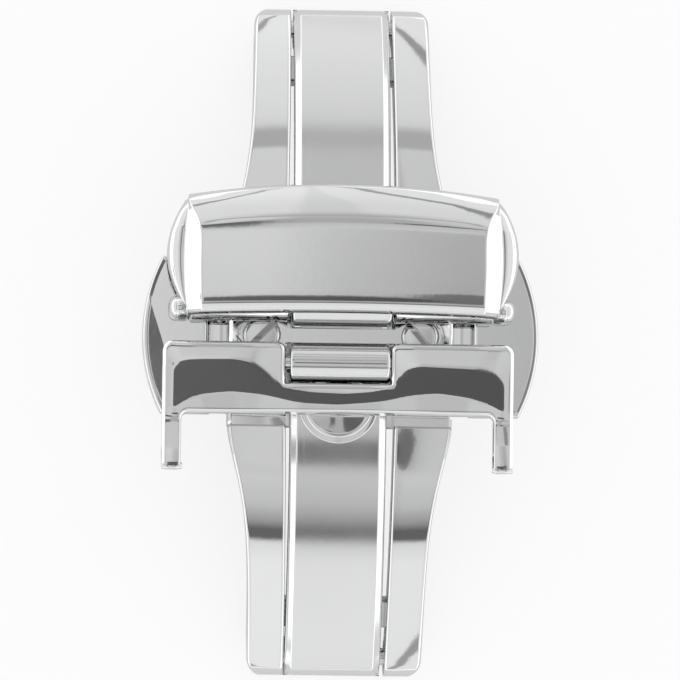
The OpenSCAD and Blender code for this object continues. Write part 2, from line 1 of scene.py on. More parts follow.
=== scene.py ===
# %% [markdown]
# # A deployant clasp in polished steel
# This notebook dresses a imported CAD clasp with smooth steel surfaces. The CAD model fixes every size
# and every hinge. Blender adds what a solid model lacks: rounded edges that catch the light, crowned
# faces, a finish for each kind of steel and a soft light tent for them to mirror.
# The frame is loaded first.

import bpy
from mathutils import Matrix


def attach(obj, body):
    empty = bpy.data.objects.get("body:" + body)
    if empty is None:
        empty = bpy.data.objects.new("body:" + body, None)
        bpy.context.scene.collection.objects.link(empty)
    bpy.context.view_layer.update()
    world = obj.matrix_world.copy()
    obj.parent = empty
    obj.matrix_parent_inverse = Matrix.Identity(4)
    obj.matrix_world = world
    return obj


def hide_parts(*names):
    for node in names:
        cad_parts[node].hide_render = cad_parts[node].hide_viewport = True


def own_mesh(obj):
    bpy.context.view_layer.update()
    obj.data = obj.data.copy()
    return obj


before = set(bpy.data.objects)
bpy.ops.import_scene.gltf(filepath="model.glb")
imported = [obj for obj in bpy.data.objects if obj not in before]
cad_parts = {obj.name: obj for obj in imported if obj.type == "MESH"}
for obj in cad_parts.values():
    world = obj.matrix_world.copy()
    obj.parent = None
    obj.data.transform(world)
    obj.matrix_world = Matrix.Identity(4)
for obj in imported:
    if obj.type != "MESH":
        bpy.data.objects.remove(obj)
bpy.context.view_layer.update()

import math

import bmesh
import bpy
import numpy as np
from mathutils import Matrix, Vector

# %% [markdown]
# ## Sizes that the whole clasp shares
# The clasp is an arch that follows the wrist. Its outer arc has one centre, and each rail ends in an
# eye that the arc runs into without a kink. The same few numbers as in the CAD source place every
# piece, so they are written once here, in millimetres.

# %% Shared sizes in millimetres
END_Y, EYE_R, ARCH_R, BLOCK_Y = 18.4, 1.15, 22.0, 5.2
ARCH_Z = EYE_R - math.sqrt((ARCH_R - EYE_R) ** 2 - (END_Y - BLOCK_Y) ** 2)
ARCH_ANGLE = math.asin((END_Y - BLOCK_Y) / (ARCH_R - EYE_R))
TOP_Z = ARCH_Z + ARCH_R
TIP_Y = END_Y + EYE_R
BARREL_Y, BARREL_H, BARREL_R, BARREL_X = 1.62, 0.95, 1.15, 3.0
STUD_Y = 3.9
print("block face at", round(TOP_Z, 3), "mm")
print("the arch covers", round(math.degrees(ARCH_ANGLE), 1), "degrees")

# %% [markdown]
# ## Closed shells from rings of points
# Almost every piece of a clasp is a section carried along a path: a bar, a pin, a plate. So one tool
# makes them all. It takes rings of points, joins each ring to the next with quads, and closes both
# ends. Points that fall together, as where a bar runs out to nothing, are merged, and the faces are
# then turned outwards.


# %% Shells and pieces
def shell(rings, ends=("flat", "flat")):
    """Quads join point j of ring i to point j + 1 and to the same two of ring i + 1. An end is
    closed flat by one face, or zipped: point j is joined to the point as far from the other side."""
    rows, around = rings.shape[:2]
    i, j = np.meshgrid(np.arange(rows - 1), np.arange(around), indexing="ij")
    k = (j + 1) % around
    quads = np.stack([i * around + j, i * around + k, (i + 1) * around + k, (i + 1) * around + j], -1)
    faces = quads.reshape(-1, 4).tolist()
    for row, closing in zip((0, rows - 1), ends):
        ring = np.arange(around) + row * around
        if closing == "flat":
            faces.append(ring.tolist())
        elif closing == "zip":
            one, other = ring[: around // 2], ring[::-1][: around // 2]
            faces += np.stack([one[:-1], one[1:], other[1:], other[:-1]], -1).tolist()
    return rings.reshape(-1, 3), faces


def make_mesh(name, shells, crease=50):
    """One mesh from closed shells in millimetres. Each is merged and turned outwards by itself, and
    edges that turn by more than the crease angle stay sharp."""
    mesh, whole = bpy.data.meshes.new(name), bmesh.new()
    for points, faces in shells:
        part, one = bpy.data.meshes.new("part"), bmesh.new()
        part.from_pydata((points / 1000).tolist(), [], faces)
        one.from_mesh(part)
        bmesh.ops.remove_doubles(one, verts=one.verts, dist=2e-8)
        bmesh.ops.recalc_face_normals(one, faces=one.faces)
        if one.calc_volume(signed=True) < 0:
            bmesh.ops.reverse_faces(one, faces=one.faces)
        one.to_mesh(part)
        one.free()
        whole.from_mesh(part)
        bpy.data.meshes.remove(part)
    whole.to_mesh(mesh)
    whole.free()
    mesh.shade_smooth()
    mesh.set_sharp_from_angle(angle=math.radians(crease))
    return mesh


def place(name, mesh, body, finish, nodes=None):
    """Shows the mesh as a piece that rides on a body and stands for CAD nodes, which bear the
    piece's own name where no others are given."""
    piece = bpy.data.objects.new(f"{name}_surface", mesh)
    bpy.context.collection.objects.link(piece)
    mesh.materials.clear()
    mesh.materials.append(finish)
    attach(piece, body)
    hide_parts(*(nodes or [name]))
    size = 1000 * (np.array(piece.bound_box).max(0) - np.array(piece.bound_box).min(0))
    print(piece.name, "has", len(mesh.polygons), "faces and measures", np.round(size, 2).tolist(), "mm")
    return piece


def drilled(mesh, cutters, crease=50):
    """The mesh less closed cutter shells, by Blender's exact boolean."""
    body = bpy.data.objects.new("body", mesh)
    drill = bpy.data.objects.new("drill", make_mesh("drill", cutters))
    for item in (body, drill):
        bpy.context.collection.objects.link(item)
    hole = body.modifiers.new("hole", "BOOLEAN")
    hole.operation, hole.solver, hole.object, hole.use_self = "DIFFERENCE", "EXACT", drill, True
    made = bpy.data.meshes.new_from_object(body.evaluated_get(bpy.context.evaluated_depsgraph_get()))
    for item in (body, drill):
        used = item.data
        bpy.data.objects.remove(item)
        bpy.data.meshes.remove(used)
    made.shade_smooth()
    made.set_sharp_from_angle(angle=math.radians(crease))
    return made


def mirrored(shells, x=1, y=1):
    """The same shells with x or y turned to the other side."""
    return [(points * np.array([x, y, 1]), faces) for points, faces in shells]


def slid(shells, x):
    """The same shells, moved sideways along their pin by x."""
    return [(points + np.array([x, 0, 0]), faces) for points, faces in shells]


# %% [markdown]
# ## Rounded outlines
# Polished steel has no razor edges: each one is a tiny arc that shows as a bright line. An outline is
# therefore drawn through its corners, and each corner is replaced by a short curve. One extra point
# just before and after the curve keeps the flats flat when the shading is smoothed.


# %% Outlines with rounded corners
def rounded(corners, cut, fill=0, steps=4, hold=0.02):
    """Each corner P becomes (1-w)^2 A + 2w(1-w) P + w^2 B, where A and B lie on its two sides at the
    distance cut from P. With fill, that many points also divide every side."""
    sides = np.roll(corners, -1, -2) - corners
    length = np.linalg.norm(sides, axis=-1, keepdims=True)
    ahead = sides / np.maximum(length, 1e-9)
    behind = -np.roll(ahead, 1, -2)
    short = np.minimum(length, np.roll(length, 1, -2))
    near = np.minimum(np.broadcast_to(cut, length.shape[:-1])[..., None], 0.42 * short)
    far = near + np.minimum(hold, 0.05 * short)
    w = np.linspace(0, 1, steps + 1)[:, None]
    corner = corners[..., None, :]
    a, b = corner + (behind * near)[..., None, :], corner + (ahead * near)[..., None, :]
    arc = (1 - w) ** 2 * a + 2 * w * (1 - w) * corner + w**2 * b
    lead, leave = corner + (behind * far)[..., None, :], corner + (ahead * far)[..., None, :]
    along = np.linspace(0, 1, fill + 2)[1:-1, None]
    between = leave + (np.roll(lead, -1, -3) - leave) * along
    ring = np.concatenate([lead, arc, leave, between], -2)
    return ring.reshape(*corners.shape[:-2], -1, 2)


def turned(profile, y, z, sides=64):
    """A shape turned on a lathe whose axis runs along x through (y, z). The profile is a list of
    (x, radius), and each becomes a ring of that radius."""
    x, radius = np.array(profile, float).T
    angle = np.linspace(0, 2 * np.pi, sides, endpoint=False)
    ring = np.stack([np.cos(angle), np.sin(angle)], -1) * radius[:, None, None] + np.array([y, z])
    return shell(np.concatenate([np.broadcast_to(x[:, None, None], (*ring.shape[:2], 1)), ring], -1))


def rod(x0, x1, radius, y, z, edge=0.08, sides=64):
    """A turned rod from x0 to x1 with a quarter round of the given size at both ends."""
    bend = np.linspace(0, np.pi / 2, 5)
    start = np.stack([x0 + edge * (1 - np.sin(bend)), radius - edge * (1 - np.cos(bend))], -1)
    end = np.stack([x1 - edge * (1 - np.sin(bend)), radius - edge * (1 - np.cos(bend))], -1)
    hold = [[x0 + edge + 0.02, radius], [x1 - edge - 0.02, radius]]
    return turned(np.concatenate([start, hold[:1], hold[1:], end[::-1]]) if edge else hold, y, z, sides)


def rounded_box(low, high, cut):
    """A box whose section across x has rounded corners, drawn in at both ends by the same amount."""
    inset = np.array([cut, 0.3 * cut, 0, 0, 0.3 * cut, cut])
    ends = np.array([0, 0.3 * cut, cut])
    x = np.concatenate([low[0] + ends, high[0] - ends[::-1]])
    (y0, z0), (y1, z1) = low[1:], high[1:]
    one = np.ones(6)
    corners = np.stack([np.stack([one * y0 + inset, one * z0 + inset], -1),
                        np.stack([one * y1 - inset, one * z0 + inset], -1),
                        np.stack([one * y1 - inset, one * z1 - inset], -1),
                        np.stack([one * y0 + inset, one * z1 - inset], -1)], 1)
    ring = rounded(corners, cut)
    return shell(np.concatenate([np.broadcast_to(x[:, None, None], (*ring.shape[:2], 1)), ring], -1))


print("helpers ready")

# %% [markdown]
# ## Sums on sockets
# A material is a small calculation on values that change over the surface. Blender writes it as a web
# of nodes, which is hard to read. Here a socket is wrapped so that plain Python sums add those nodes:
# 1 - mask adds one Subtract node, and any other node comes from one function.


# %% Node sums
class Flow:
    """A value that flows out of a node."""

    def __init__(self, socket):
        self.socket = socket

    def math(self, operation, *values):
        return node(self.socket.id_data, "ShaderNodeMath", {"operation": operation}, *values)

    def __add__(self, other):
        return self.math("ADD", self, other)

    def __sub__(self, other):
        return self.math("SUBTRACT", self, other)

    def __rsub__(self, other):
        return self.math("SUBTRACT", other, self)

    def __mul__(self, other):
        return self.math("MULTIPLY", self, other)

    def __truediv__(self, other):
        return self.math("DIVIDE", self, other)

    def __pow__(self, other):
        return self.math("POWER", self, other)

    __radd__, __rmul__ = __add__, __mul__


def node(tree, kind, settings=None, *values, out=0, **named):
    """Adds a node, sets its settings, then fills its sockets with numbers or links."""
    made = tree.nodes.new(kind)
    for key, value in (settings or {}).items():
        if key == "stops":
            ramp = made.color_ramp
            for index, (where, level) in enumerate(value):
                stop = ramp.elements[index] if index < 2 else ramp.elements.new(where)
                stop.position, stop.color = where, (level, level, level, 1)
        else:
            setattr(made, key, value)
    for key, value in [*enumerate(values), *((name.replace("_", " "), v) for name, v in named.items())]:
        if isinstance(value, Flow):
            tree.links.new(value.socket, made.inputs[key])
        else:
            made.inputs[key].default_value = value
    return Flow(made.outputs[out])


def bump_edge(value, start, end):
    """0 below start, 1 above end, and a smooth step between them."""
    return node(value.socket.id_data, "ShaderNodeMapRange", {"interpolation_type": "SMOOTHSTEP"},
                value, start, end, 0.0, 1.0)


# %% [markdown]
# ## Finishes of steel
# The clasp is polished stainless steel. A mirror finish is never perfect: it has fine hairlines from
# handling, a faint orange peel and slightly duller patches. Pins are turned on a lathe, so they have
# rings round their axis, the screws are polished after turning, and spring wire is drawn through a
# die, so it has streaks along it. All are the same metal, and only roughness, tone and a small bump
# differ.


# %% Finishes
def steel(name, tone, roughness, peel, hairlines, hairline_scale):
    """Metal whose colour, roughness and bump vary with noise on Object coordinates, in metres."""
    material = bpy.data.materials.new(name)
    material.use_nodes = True
    tree = material.node_tree
    shader = tree.nodes["Principled BSDF"]
    where = node(tree, "ShaderNodeTexCoord", out=3)
    cloud = node(tree, "ShaderNodeTexNoise", None, Vector=where, Scale=260.0, Detail=3.0)
    fine = node(tree, "ShaderNodeTexNoise", None, Vector=where, Scale=2400.0, Detail=2.0)
    stretched = node(tree, "ShaderNodeMapping", None, where, Scale=hairline_scale)
    lines = node(tree, "ShaderNodeTexNoise", None, Vector=stretched, Scale=1.0, Detail=4.0,
                 Roughness=0.7)
    scratch = bump_edge(lines, 0.60, 0.72)
    mix = node(tree, "ShaderNodeMix", {"data_type": "RGBA"}, out=2)
    mixer = mix.socket.node
    tree.links.new(cloud.socket, mixer.inputs[0])
    mixer.inputs[6].default_value = (*[0.97 * value for value in tone], 1)
    mixer.inputs[7].default_value = (*tone, 1)
    rough = roughness * (0.75 + 0.5 * cloud) + hairlines * 0.10 * scratch
    height = fine * peel + lines * hairlines
    normal = node(tree, "ShaderNodeBump", None, Strength=0.12, Distance=0.00002, Height=height)
    tree.links.new(mix.socket, shader.inputs["Base Color"])
    tree.links.new(rough.socket, shader.inputs["Roughness"])
    tree.links.new(normal.socket, shader.inputs["Normal"])
    shader.inputs["Metallic"].default_value = 1.0
    material.diffuse_color = (*tone, 1)
    print(name, "uses", len(tree.nodes), "nodes")
    return material


POLISHED, TURNED = (0.700, 0.702, 0.706), (0.600, 0.602, 0.608)
mirror_steel = steel("mirror_steel", POLISHED, 0.045, 0.25, 0.10, (900.0, 60.0, 900.0))
blade_steel = steel("brushed_blade_steel", POLISHED, 0.13, 0.30, 0.25, (1400.0, 50.0, 1400.0))
pin_finish = steel("turned_steel", TURNED, 0.14, 0.40, 0.45, (9000.0, 90.0, 90.0))
screw_finish = steel("polished_screw_steel", (0.640, 0.642, 0.648), 0.06, 0.20, 0.20,
                     (300.0, 300.0, 300.0))
wire_finish = steel("drawn_wire", (0.520, 0.522, 0.528), 0.22, 0.40, 0.50, (200.0, 5000.0, 5000.0))

# %% [markdown]
# ## The side rails
# Four arched bars carry the clasp. Each has the block at one end and a round eye at the other, flares
# out towards the block, and is very slightly crowned from buffing. A bar could be a box bent by a
# modifier, but then the eye would stretch. Instead a rounded section is set up in each of about a
# hundred columns that stand between the top line and the bottom line of the side view.


# %% Columns of an arched bar
def polar(centre, radius, angle):
    """Points at an angle from the vertical round a centre in y and z."""
    return np.stack([centre[0] + radius * np.sin(angle), centre[1] + radius * np.cos(angle)], -1)


def arch_columns(thick, steps=70, tip_steps=36):
    """Top and bottom of the side view: two arcs round the arch's centre, then both run round the
    eye until they meet at its far point."""
    arch, eye, inner, away = (BLOCK_Y, ARCH_Z), (END_Y, EYE_R), ARCH_R - thick, ARCH_R - EYE_R
    meet = ARCH_ANGLE - math.acos((away**2 + inner**2 - EYE_R**2) / (2 * away * inner))
    angle, w = np.linspace(0, meet, steps), np.linspace(0, 1, tip_steps + 1)[1:]
    turn = meet + (np.pi / 2 - meet) * w
    before_eye = (turn < ARCH_ANGLE)[:, None]
    top_tip = np.where(before_eye, polar(arch, ARCH_R, turn), polar(eye, EYE_R, turn))
    joint = polar(arch, inner, meet)
    first = math.atan2(joint[0] - END_Y, joint[1] - EYE_R) % (2 * math.pi)
    bottom_tip = polar(eye, EYE_R, first + (np.pi / 2 - first) * w)
    return (np.concatenate([polar(arch, ARCH_R, angle), top_tip]),
            np.concatenate([polar(arch, inner, angle), bottom_tip]))


def stand_up(top, bottom, ring):
    """Carries rings of (x, height) into space: a height runs from the bottom line to the top line."""
    way = top - bottom
    height = np.linalg.norm(way, axis=-1, keepdims=True)
    way = way / np.maximum(height, 1e-6)
    yz = bottom[:, None, :] + ring[..., 1:] * way[:, None, :]
    return np.concatenate([ring[..., :1], yz], -1)


def rail_out_x(y):
    """Half width over the rails: a bell flare at the block that settles to a slow taper."""
    flare = np.exp(-((np.maximum(y - BLOCK_Y, 0) / 4.2) ** 1.6))
    return 5.1 + 0.15 * (TIP_Y - y) / (TIP_Y - BLOCK_Y) + 1.25 * flare


def rail_shell(lean):
    """Columns from the slot to rail_out_x, their outer top corner turned in plan at the tip. The top
    leans outwards by the given slope at the inner edge and by 3 degrees more at the outer edge. A
    fine groove crosses it where it meets the block."""
    top, bottom = arch_columns(2.0)
    groove = np.array([0.0, 0.03, 0.06, 0.09, 0.12])
    seam = top[:1] + np.stack([groove, 0 * groove], -1)
    seam[:, 1] -= np.array([0.0, 0.06, 0.09, 0.06, 0.0])
    top = np.concatenate([seam, top[1:]])
    bottom = np.concatenate([bottom[:1] + np.stack([groove, 0 * groove], -1), bottom[1:]])
    y, height = top[:, 0], np.linalg.norm(top - bottom, axis=-1)
    corner = 0.7
    past = np.clip(y - (TIP_Y - corner), 0, corner)
    x0 = 2.93 + 0.22 * (TIP_Y - y) / (TIP_Y - BLOCK_Y)
    x1 = rail_out_x(y) - corner + np.sqrt(corner**2 - past**2)
    zero = 0 * height
    corners = np.stack([np.stack([x0, zero], -1), np.stack([x1, zero], -1),
                        np.stack([x1, height], -1), np.stack([x0, height], -1)], 1)
    ring = rounded(corners, 0.2, fill=5)
    across = (ring[..., 0] - x0[:, None]) / (x1 - x0)[:, None]
    crown = (lean * across + 0.026 * across**2) * (x1 - x0)[:, None] * np.minimum(height, 1)[:, None]
    ring[..., 1] -= crown * ring[..., 1] / np.maximum(height, 1e-6)[:, None]
    return [shell(stand_up(top, bottom, ring), ("flat", None))]


for end, y in (("upper", 1), ("lower", -1)):
    for side, x, lean in (("left", -1, 0.022), ("right", 1, 0.004)):
        name = f"{end}_{side}_rail"
        mesh = make_mesh(name, mirrored(rail_shell(lean), x, y))
        place(name, mesh, "base", mirror_steel)

# %% [markdown]
# ## The folding blades
# Each blade is a thin leaf between two rails, with a clear bevel along both upper edges, an eye on
# the end pin and a rolled barrel at its inner tip. The same columns serve, with a six sided section.
# The barrel is turned, and a fine seam runs along it where the rolled sheet ends. A hinge has a little
# play along its pin, and the lower blade sits a tenth of a millimetre to one side.


# %% Blades
BLADE_X, BEVEL_X, BEVEL_Z, BARREL_END = 2.8, 0.42, 0.28, 2.87


def blade_shell():
    """The leaf's flat part and its arch are one row of columns with the same bevelled section."""
    top, bottom = arch_columns(1.0)
    flat = np.linspace(0.5, BLOCK_Y, 16)[:-1]
    top = np.concatenate([np.stack([flat, flat * 0 + TOP_Z], -1), top])
    bottom = np.concatenate([np.stack([flat, flat * 0 + TOP_Z - 1.0], -1), bottom])
    height = np.linalg.norm(top - bottom, axis=-1)
    share = np.minimum(height, 1)
    half, inner = BLADE_X + 0 * height, BLADE_X - BEVEL_X * share
    low, high = height - BEVEL_Z * share, height
    zero = 0 * height
    corners = np.stack([np.stack([-half, zero], -1), np.stack([half, zero], -1),
                        np.stack([half, low], -1), np.stack([inner, high], -1),
                        np.stack([-inner, high], -1), np.stack([-half, low], -1)], 1)
    return shell(stand_up(top, bottom, rounded(corners, 0.05)), ("flat", None))


def barrel_shell():
    """A tube's outside along x. Its radius dips in two fine grooves beside the rolled seam."""
    from_end = np.array([0, 0.02, 0.06, 0.12, 0.20])
    x = np.concatenate([from_end - BARREL_END, BARREL_END - from_end[::-1]])
    edge = np.array([0.12, 0.05, 0.015, 0, 0, 0, 0, 0.015, 0.05, 0.12])
    angle = np.linspace(0, 2 * np.pi, 192, endpoint=False)
    seam = sum(0.022 * np.exp(-(((np.degrees(angle) - centre) / 1.4) ** 2)) for centre in (102, 108))
    radius = BARREL_R - edge[:, None] - seam
    y = BARREL_Y + radius * np.cos(angle)
    z = TOP_Z + BARREL_H + radius * np.sin(angle)
    return shell(np.stack([np.broadcast_to(x[:, None], y.shape), y, z], -1))


blade = [blade_shell(), barrel_shell()]
WINGS = (("upper", 1, 0), ("lower", -1, -0.1))
for end, y, play in WINGS:
    mesh = make_mesh(f"{end}_blade", slid(mirrored(blade, 1, y), play))
    place(f"{end}_blade", mesh, f"{end}_wing", blade_steel)

# %% [markdown]
# ## The catch studs
# A stud is riveted through each blade and snaps into the buttons' arms. Its round head has a raised,
# faintly dished disc. It is turned about an upright axis, and the side next to the barrel is cut to a
# flat by holding every point back to that line.


# %% Catch studs
def upright(profile, x, y, z, sides=96, flat=None):
    """A turned shape with an upright axis. The profile is a list of (radius, height)."""
    radius, height = np.array(profile, float).T
    angle = np.linspace(0, 2 * np.pi, sides, endpoint=False)
    across, along = radius[:, None] * np.cos(angle), radius[:, None] * np.sin(angle)
    if flat is not None:
        along = np.maximum(along, flat)
    level = np.broadcast_to(height[:, None], across.shape)
    return shell(np.stack([x + across, y + along, z + level], -1))


head = [(0.02, 0.0), (2.30, 0.0), (2.35, 0.04), (2.35, 0.20), (2.33, 0.25), (2.28, 0.27), (2.06, 0.27),
        (2.02, 0.28), (2.0, 0.33), (1.95, 0.35), (1.80, 0.35), (1.70, 0.343), (1.2, 0.30), (0.6, 0.27),
        (0.02, 0.262)]
shank = [(0.02, -2.5), (0.52, -2.5), (0.6, -2.42), (0.6, -2.30), (0.56, -2.25), (0.4, -2.2),
         (0.4, -1.32), (0.58, -1.28), (0.58, 0.02), (0.02, 0.02)]
stud = [upright(head, 0, STUD_Y, TOP_Z, flat=-1.25), upright(shank, 0, STUD_Y, TOP_Z, 48)]
for end, y, play in WINGS:
    mesh = make_mesh(f"{end}_stud", slid(mirrored(stud, 1, y), play))
    place(f"{end}_stud", mesh, f"{end}_wing", mirror_steel, [f"{end}_catch_stud"])

# %% [markdown]
# ## The strap cover
# The cover is the jewel of the clasp: a pillow with a rolled rim, a nearly flat face, a long bevel
# towards its far edge and a lens shaped facet on each side. It hides the strap, so it is hollow.
# A sculpted cube would give soft lumps. Here every point comes from two numbers: s runs along the
# side profile and k counts stations across, which follow the facet's two curved borders.


# %% Smooth curves through a few points
def through(x, points):
    """A curve through points of (x, value): between two of them a cubic joins their values and the
    slopes there, which are taken from the neighbours on both sides."""
    xs, ys = np.array(points, float).T
    slope = np.gradient(ys, xs)
    index = np.clip(np.searchsorted(xs, x) - 1, 0, len(xs) - 2)
    gap = xs[index + 1] - xs[index]
    w = np.clip((x - xs[index]) / gap, 0, 1)
    return ((1 + 2 * w) * (1 - w) ** 2 * ys[index] + w * (1 - w) ** 2 * gap * slope[index]
            + w**2 * (3 - 2 * w) * ys[index + 1] + w**2 * (w - 1) * gap * slope[index + 1])


def eased(x, points):
    """A curve through points of (x, value) that runs level at each of them."""
    xs, ys = np.array(points, float).T
    index = np.clip(np.searchsorted(xs, x) - 1, 0, len(xs) - 2)
    w = np.clip((x - xs[index]) / (xs[index + 1] - xs[index]), 0, 1)
    return ys[index] + (ys[index + 1] - ys[index]) * (1 - np.cos(np.pi * w)) / 2


# %% Cover profile
COVER_H, BEAD_Y, BEAD_R = 3.1, 1.80, 0.80
face_y = np.concatenate([np.linspace(BEAD_Y, 2.5, 26), np.linspace(2.5, 6.0, 30)[1:],
                         np.linspace(6.0, 6.9, 40)[1:], np.linspace(6.9, 8.5, 20)[1:]])


def face_slope(u):
    """Slope of the face in degrees, by y: it dips towards the bead, is flat in the middle, then
    bends to the bevel. That bend is soft in the middle and crisp towards the sides."""
    near = [(BEAD_Y, -6.6), (2.08, -2.7), (2.46, -0.7), (4.6, 0.1)]
    soft = near + [(5.9, 0.4), (6.28, 1.35), (6.57, 4.85), (6.80, 18.5), (7.2, 21.5), (8.5, 38.0)]
    crisp = near + [(5.9, 0.3), (6.36, 1.35), (6.48, 4.85), (6.62, 18.5), (7.2, 22.0), (8.5, 38.0)]
    share = np.clip((np.abs(u) - 0.60) / 0.2, 0, 1)[:, None]
    return eased(face_y, soft) * (1 - share) + eased(face_y, crisp) * share


def cover_profile(u):
    """(y, z) of the outside for each station: wall, bead, then a running sum of the face's slope,
    then the rounded lip."""
    slope = np.tan(np.radians(face_slope(u)))
    step = np.diff(face_y) * (slope[:, 1:] + slope[:, :-1]) / 2
    fall = np.concatenate([np.zeros((len(u), 1)), np.cumsum(step, 1)], 1)
    middle = np.argmin(np.abs(face_y - 4.6))
    face_z = COVER_H - (fall - fall[:, middle : middle + 1])
    turn = np.radians(np.linspace(90, 13, 18))
    bead_y = BEAD_Y - 0.02 + BEAD_R * (math.sin(math.radians(13)) - np.sin(turn))
    bead_z = face_z[:, :1] - 0.006 + BEAD_R * (np.cos(turn) - math.cos(math.radians(13)))
    wall_y, wall_z = np.array([1.45, 1.36, 1.23, 1.17]), np.array([0.95, 1.4, 1.9, 2.1])
    lip_z = face_z[:, -1:] - np.array([0.075, 0.16, 0.27, 0.38, 0.46])
    y = np.concatenate([wall_y, bead_y, [BEAD_Y - 0.01], face_y, [8.585, 8.65, 8.68, 8.66, 8.6]])
    wall = np.broadcast_to(wall_z, (len(u), 4))
    return (np.broadcast_to(y, (len(u), len(y))),
            np.concatenate([wall, bead_z, face_z[:, :1] - 0.004, face_z, lip_z], 1))


# %% Cover stations
def half_width(y):
    """The plan's outer border: a shallow parabola, widest at y = 4.61."""
    return 10.17 - ((np.clip(y, 1.3, 7.7) - 4.61) / 2.99) ** 2


def facet_in(y):
    """Inner border of the side facet. It is almost straight, then turns out to a point."""
    return through(y, [(1.3, 8.16), (2.7, 8.20), (3.9, 8.23), (4.9, 8.22), (5.6, 8.24), (6.1, 8.30),
                       (6.7, 8.50), (7.25, 8.80), (7.6, 8.97)])


def facet_out(y):
    """Outer border of the side facet, where the rim begins."""
    return through(y, [(1.3, 9.05), (2.6, 9.17), (3.9, 9.22), (4.9, 9.21), (6.1, 9.14), (7.25, 9.00),
                       (7.6, 8.99)])


def plan_y(y, u):
    """Bows the near edge and sags the far edge by parabolas in u, so both fade in the middle."""
    q = (y - 1.3) / 7.4
    return y + (0.01 - 0.24 * u**2) * np.clip(1 - q, 0, 1) ** 2 - 1.1 * u**2 * q**2


FACET_SLOPE = 0.714


def station_x(kind, t, y):
    """x of a station at y, and how far it drops below the profile. Across the crease the drop is a
    parabola, on the facet a straight line, and over the rim an ellipse from 8 to 90 degrees."""
    inner, outer, edge = facet_in(y), facet_out(y), half_width(y)
    ease = np.minimum(0.06, 0.3 * (outer - inner))
    start, stop = inner - ease, inner + ease
    crown = 0.0009 * inner**2 * min(1, t + (kind != "face")) ** 2
    facet_drop = crown + FACET_SLOPE * (ease + outer - stop)
    if kind == "face":
        return start * t, crown
    if kind == "crease":
        return start + 2 * ease * t, crown + FACET_SLOPE * ease * t**2
    if kind == "facet":
        x = stop + (outer - stop) * t
        return x, crown + FACET_SLOPE * (ease + x - stop)
    first = math.radians(8)
    beta = first + (math.pi / 2 - first) * t
    x = outer + (edge - outer) * (math.sin(beta) - math.sin(first)) / (1 - math.sin(first))
    return x, facet_drop + 0.62 * (edge - outer) * (math.cos(first) - math.cos(beta)) / math.cos(first)


half_stations = ([("face", t) for t in np.sin(np.linspace(0, np.pi / 2, 19))]
                 + [("crease", t) for t in (0.2, 0.4, 0.6, 0.8, 1.0)]
                 + [("facet", t) for t in (0.06, 0.35, 0.65, 0.94, 1.0)]
                 + [("rim", t) for t in np.linspace(0, 1, 19)[1:]])
print(len(half_stations), "stations from the middle of the cover to its side")


# %% Cover surface
def resample(path, count):
    """count points evenly spaced along a path of (y, z)."""
    path = np.array(path, float)
    run = np.concatenate([[0], np.cumsum(np.linalg.norm(np.diff(path, axis=0), axis=1))])
    at = np.linspace(0, run[-1], count)
    return np.stack([np.interp(at, run, path[:, 0]), np.interp(at, run, path[:, 1])], -1)


def cover_rings():
    """Rings of the right half: the outside from s = 0 to 1, then the inside back. The inside is the
    strap's hollow up to the side wall, and the wall's lower edge from there on."""
    u = np.array([station_x(kind, t, np.array(4.61))[0] / 10.17 for kind, t in half_stations])
    side_y, side_z = cover_profile(u)
    count = side_y.shape[1]
    hollow = resample([(1.5, 0.95), (2.5, 0.95), (2.55, 1.0), (2.55, 2.1), (2.65, 2.25), (3.1, 2.35),
                       (6.4, 2.35), (7.4, 2.0), (8.3, 1.42), (8.5, 1.40)], count)
    lug = np.radians(np.linspace(-90, 0, 14))
    wall = [(1.5, 0.95), (2.4, 0.65), (3.3, 0.32)]
    wall += list(zip(6.8 + 0.9 * np.cos(lug), 1.2 + 0.9 * np.sin(lug))) + [(8.1, 1.38), (8.5, 1.40)]
    wall = resample(wall, count)
    rings = []
    for k, (kind, t) in enumerate(half_stations):
        plan = plan_y(side_y[k], u[k])
        x, drop = station_x(kind, t, plan)
        up = np.clip((side_z[k] - 0.95) / 0.6, 0, 1)
        outside = np.stack([x, plan, side_z[k] - drop * up], -1)
        inner_wall = np.minimum(9.2, half_width(plan_y(hollow[:, 0], 1.0)) - 0.1)
        paths = [(hollow, inner_wall * min(u[k] * 10.17 / 9.21, 1))] if kind != "rim" else []
        if kind == "rim" or (kind == "facet" and t == 1.0):
            share = 0 if kind == "facet" else (x[len(x) // 2] - 9.21) / 0.96
            edge = half_width(plan_y(wall[:, 0], u[k]))
            paths.append((wall, (1 - share) * np.minimum(9.2, edge - 0.1) + share * edge))
        for path, low_x in paths:
            py = plan_y(path[:, 0], u[k])
            pz = path[:, 1] - drop * np.clip((path[:, 1] - 0.95) / 0.6, 0, 1)
            inside = np.stack([low_x, py, pz], -1)
            rings.append(np.concatenate([outside, inside[::-1]]))
    return np.array(rings)


right = cover_rings()
left = right[::-1] * np.array([-1, 1, 1])
cover_rows = np.concatenate([left[:-1], right]) + np.array([0, 0, TOP_Z])
knuckle_z = TOP_Z + BARREL_H
cover_parts = [shell(cover_rows, ("zip", "zip"))]
for x in (-1, 1):
    knuckle = rod(BARREL_X + 0.06, 8.8, 0.88, BARREL_Y, knuckle_z, edge=0.2)
    lobe = rod(8.72, 10.0, 0.64, BARREL_Y - 0.14, knuckle_z, edge=0.42)
    cover_parts += mirrored([knuckle, lobe], x)
lug_holes = [turned([(8.9, 0.55), (10.6, 0.55)], 6.8, TOP_Z + 1.2)]
cover_mesh = drilled(make_mesh("cover", cover_parts, 60), lug_holes + mirrored(lug_holes, -1), 60)
place("cover", cover_mesh, "cover", mirror_steel)

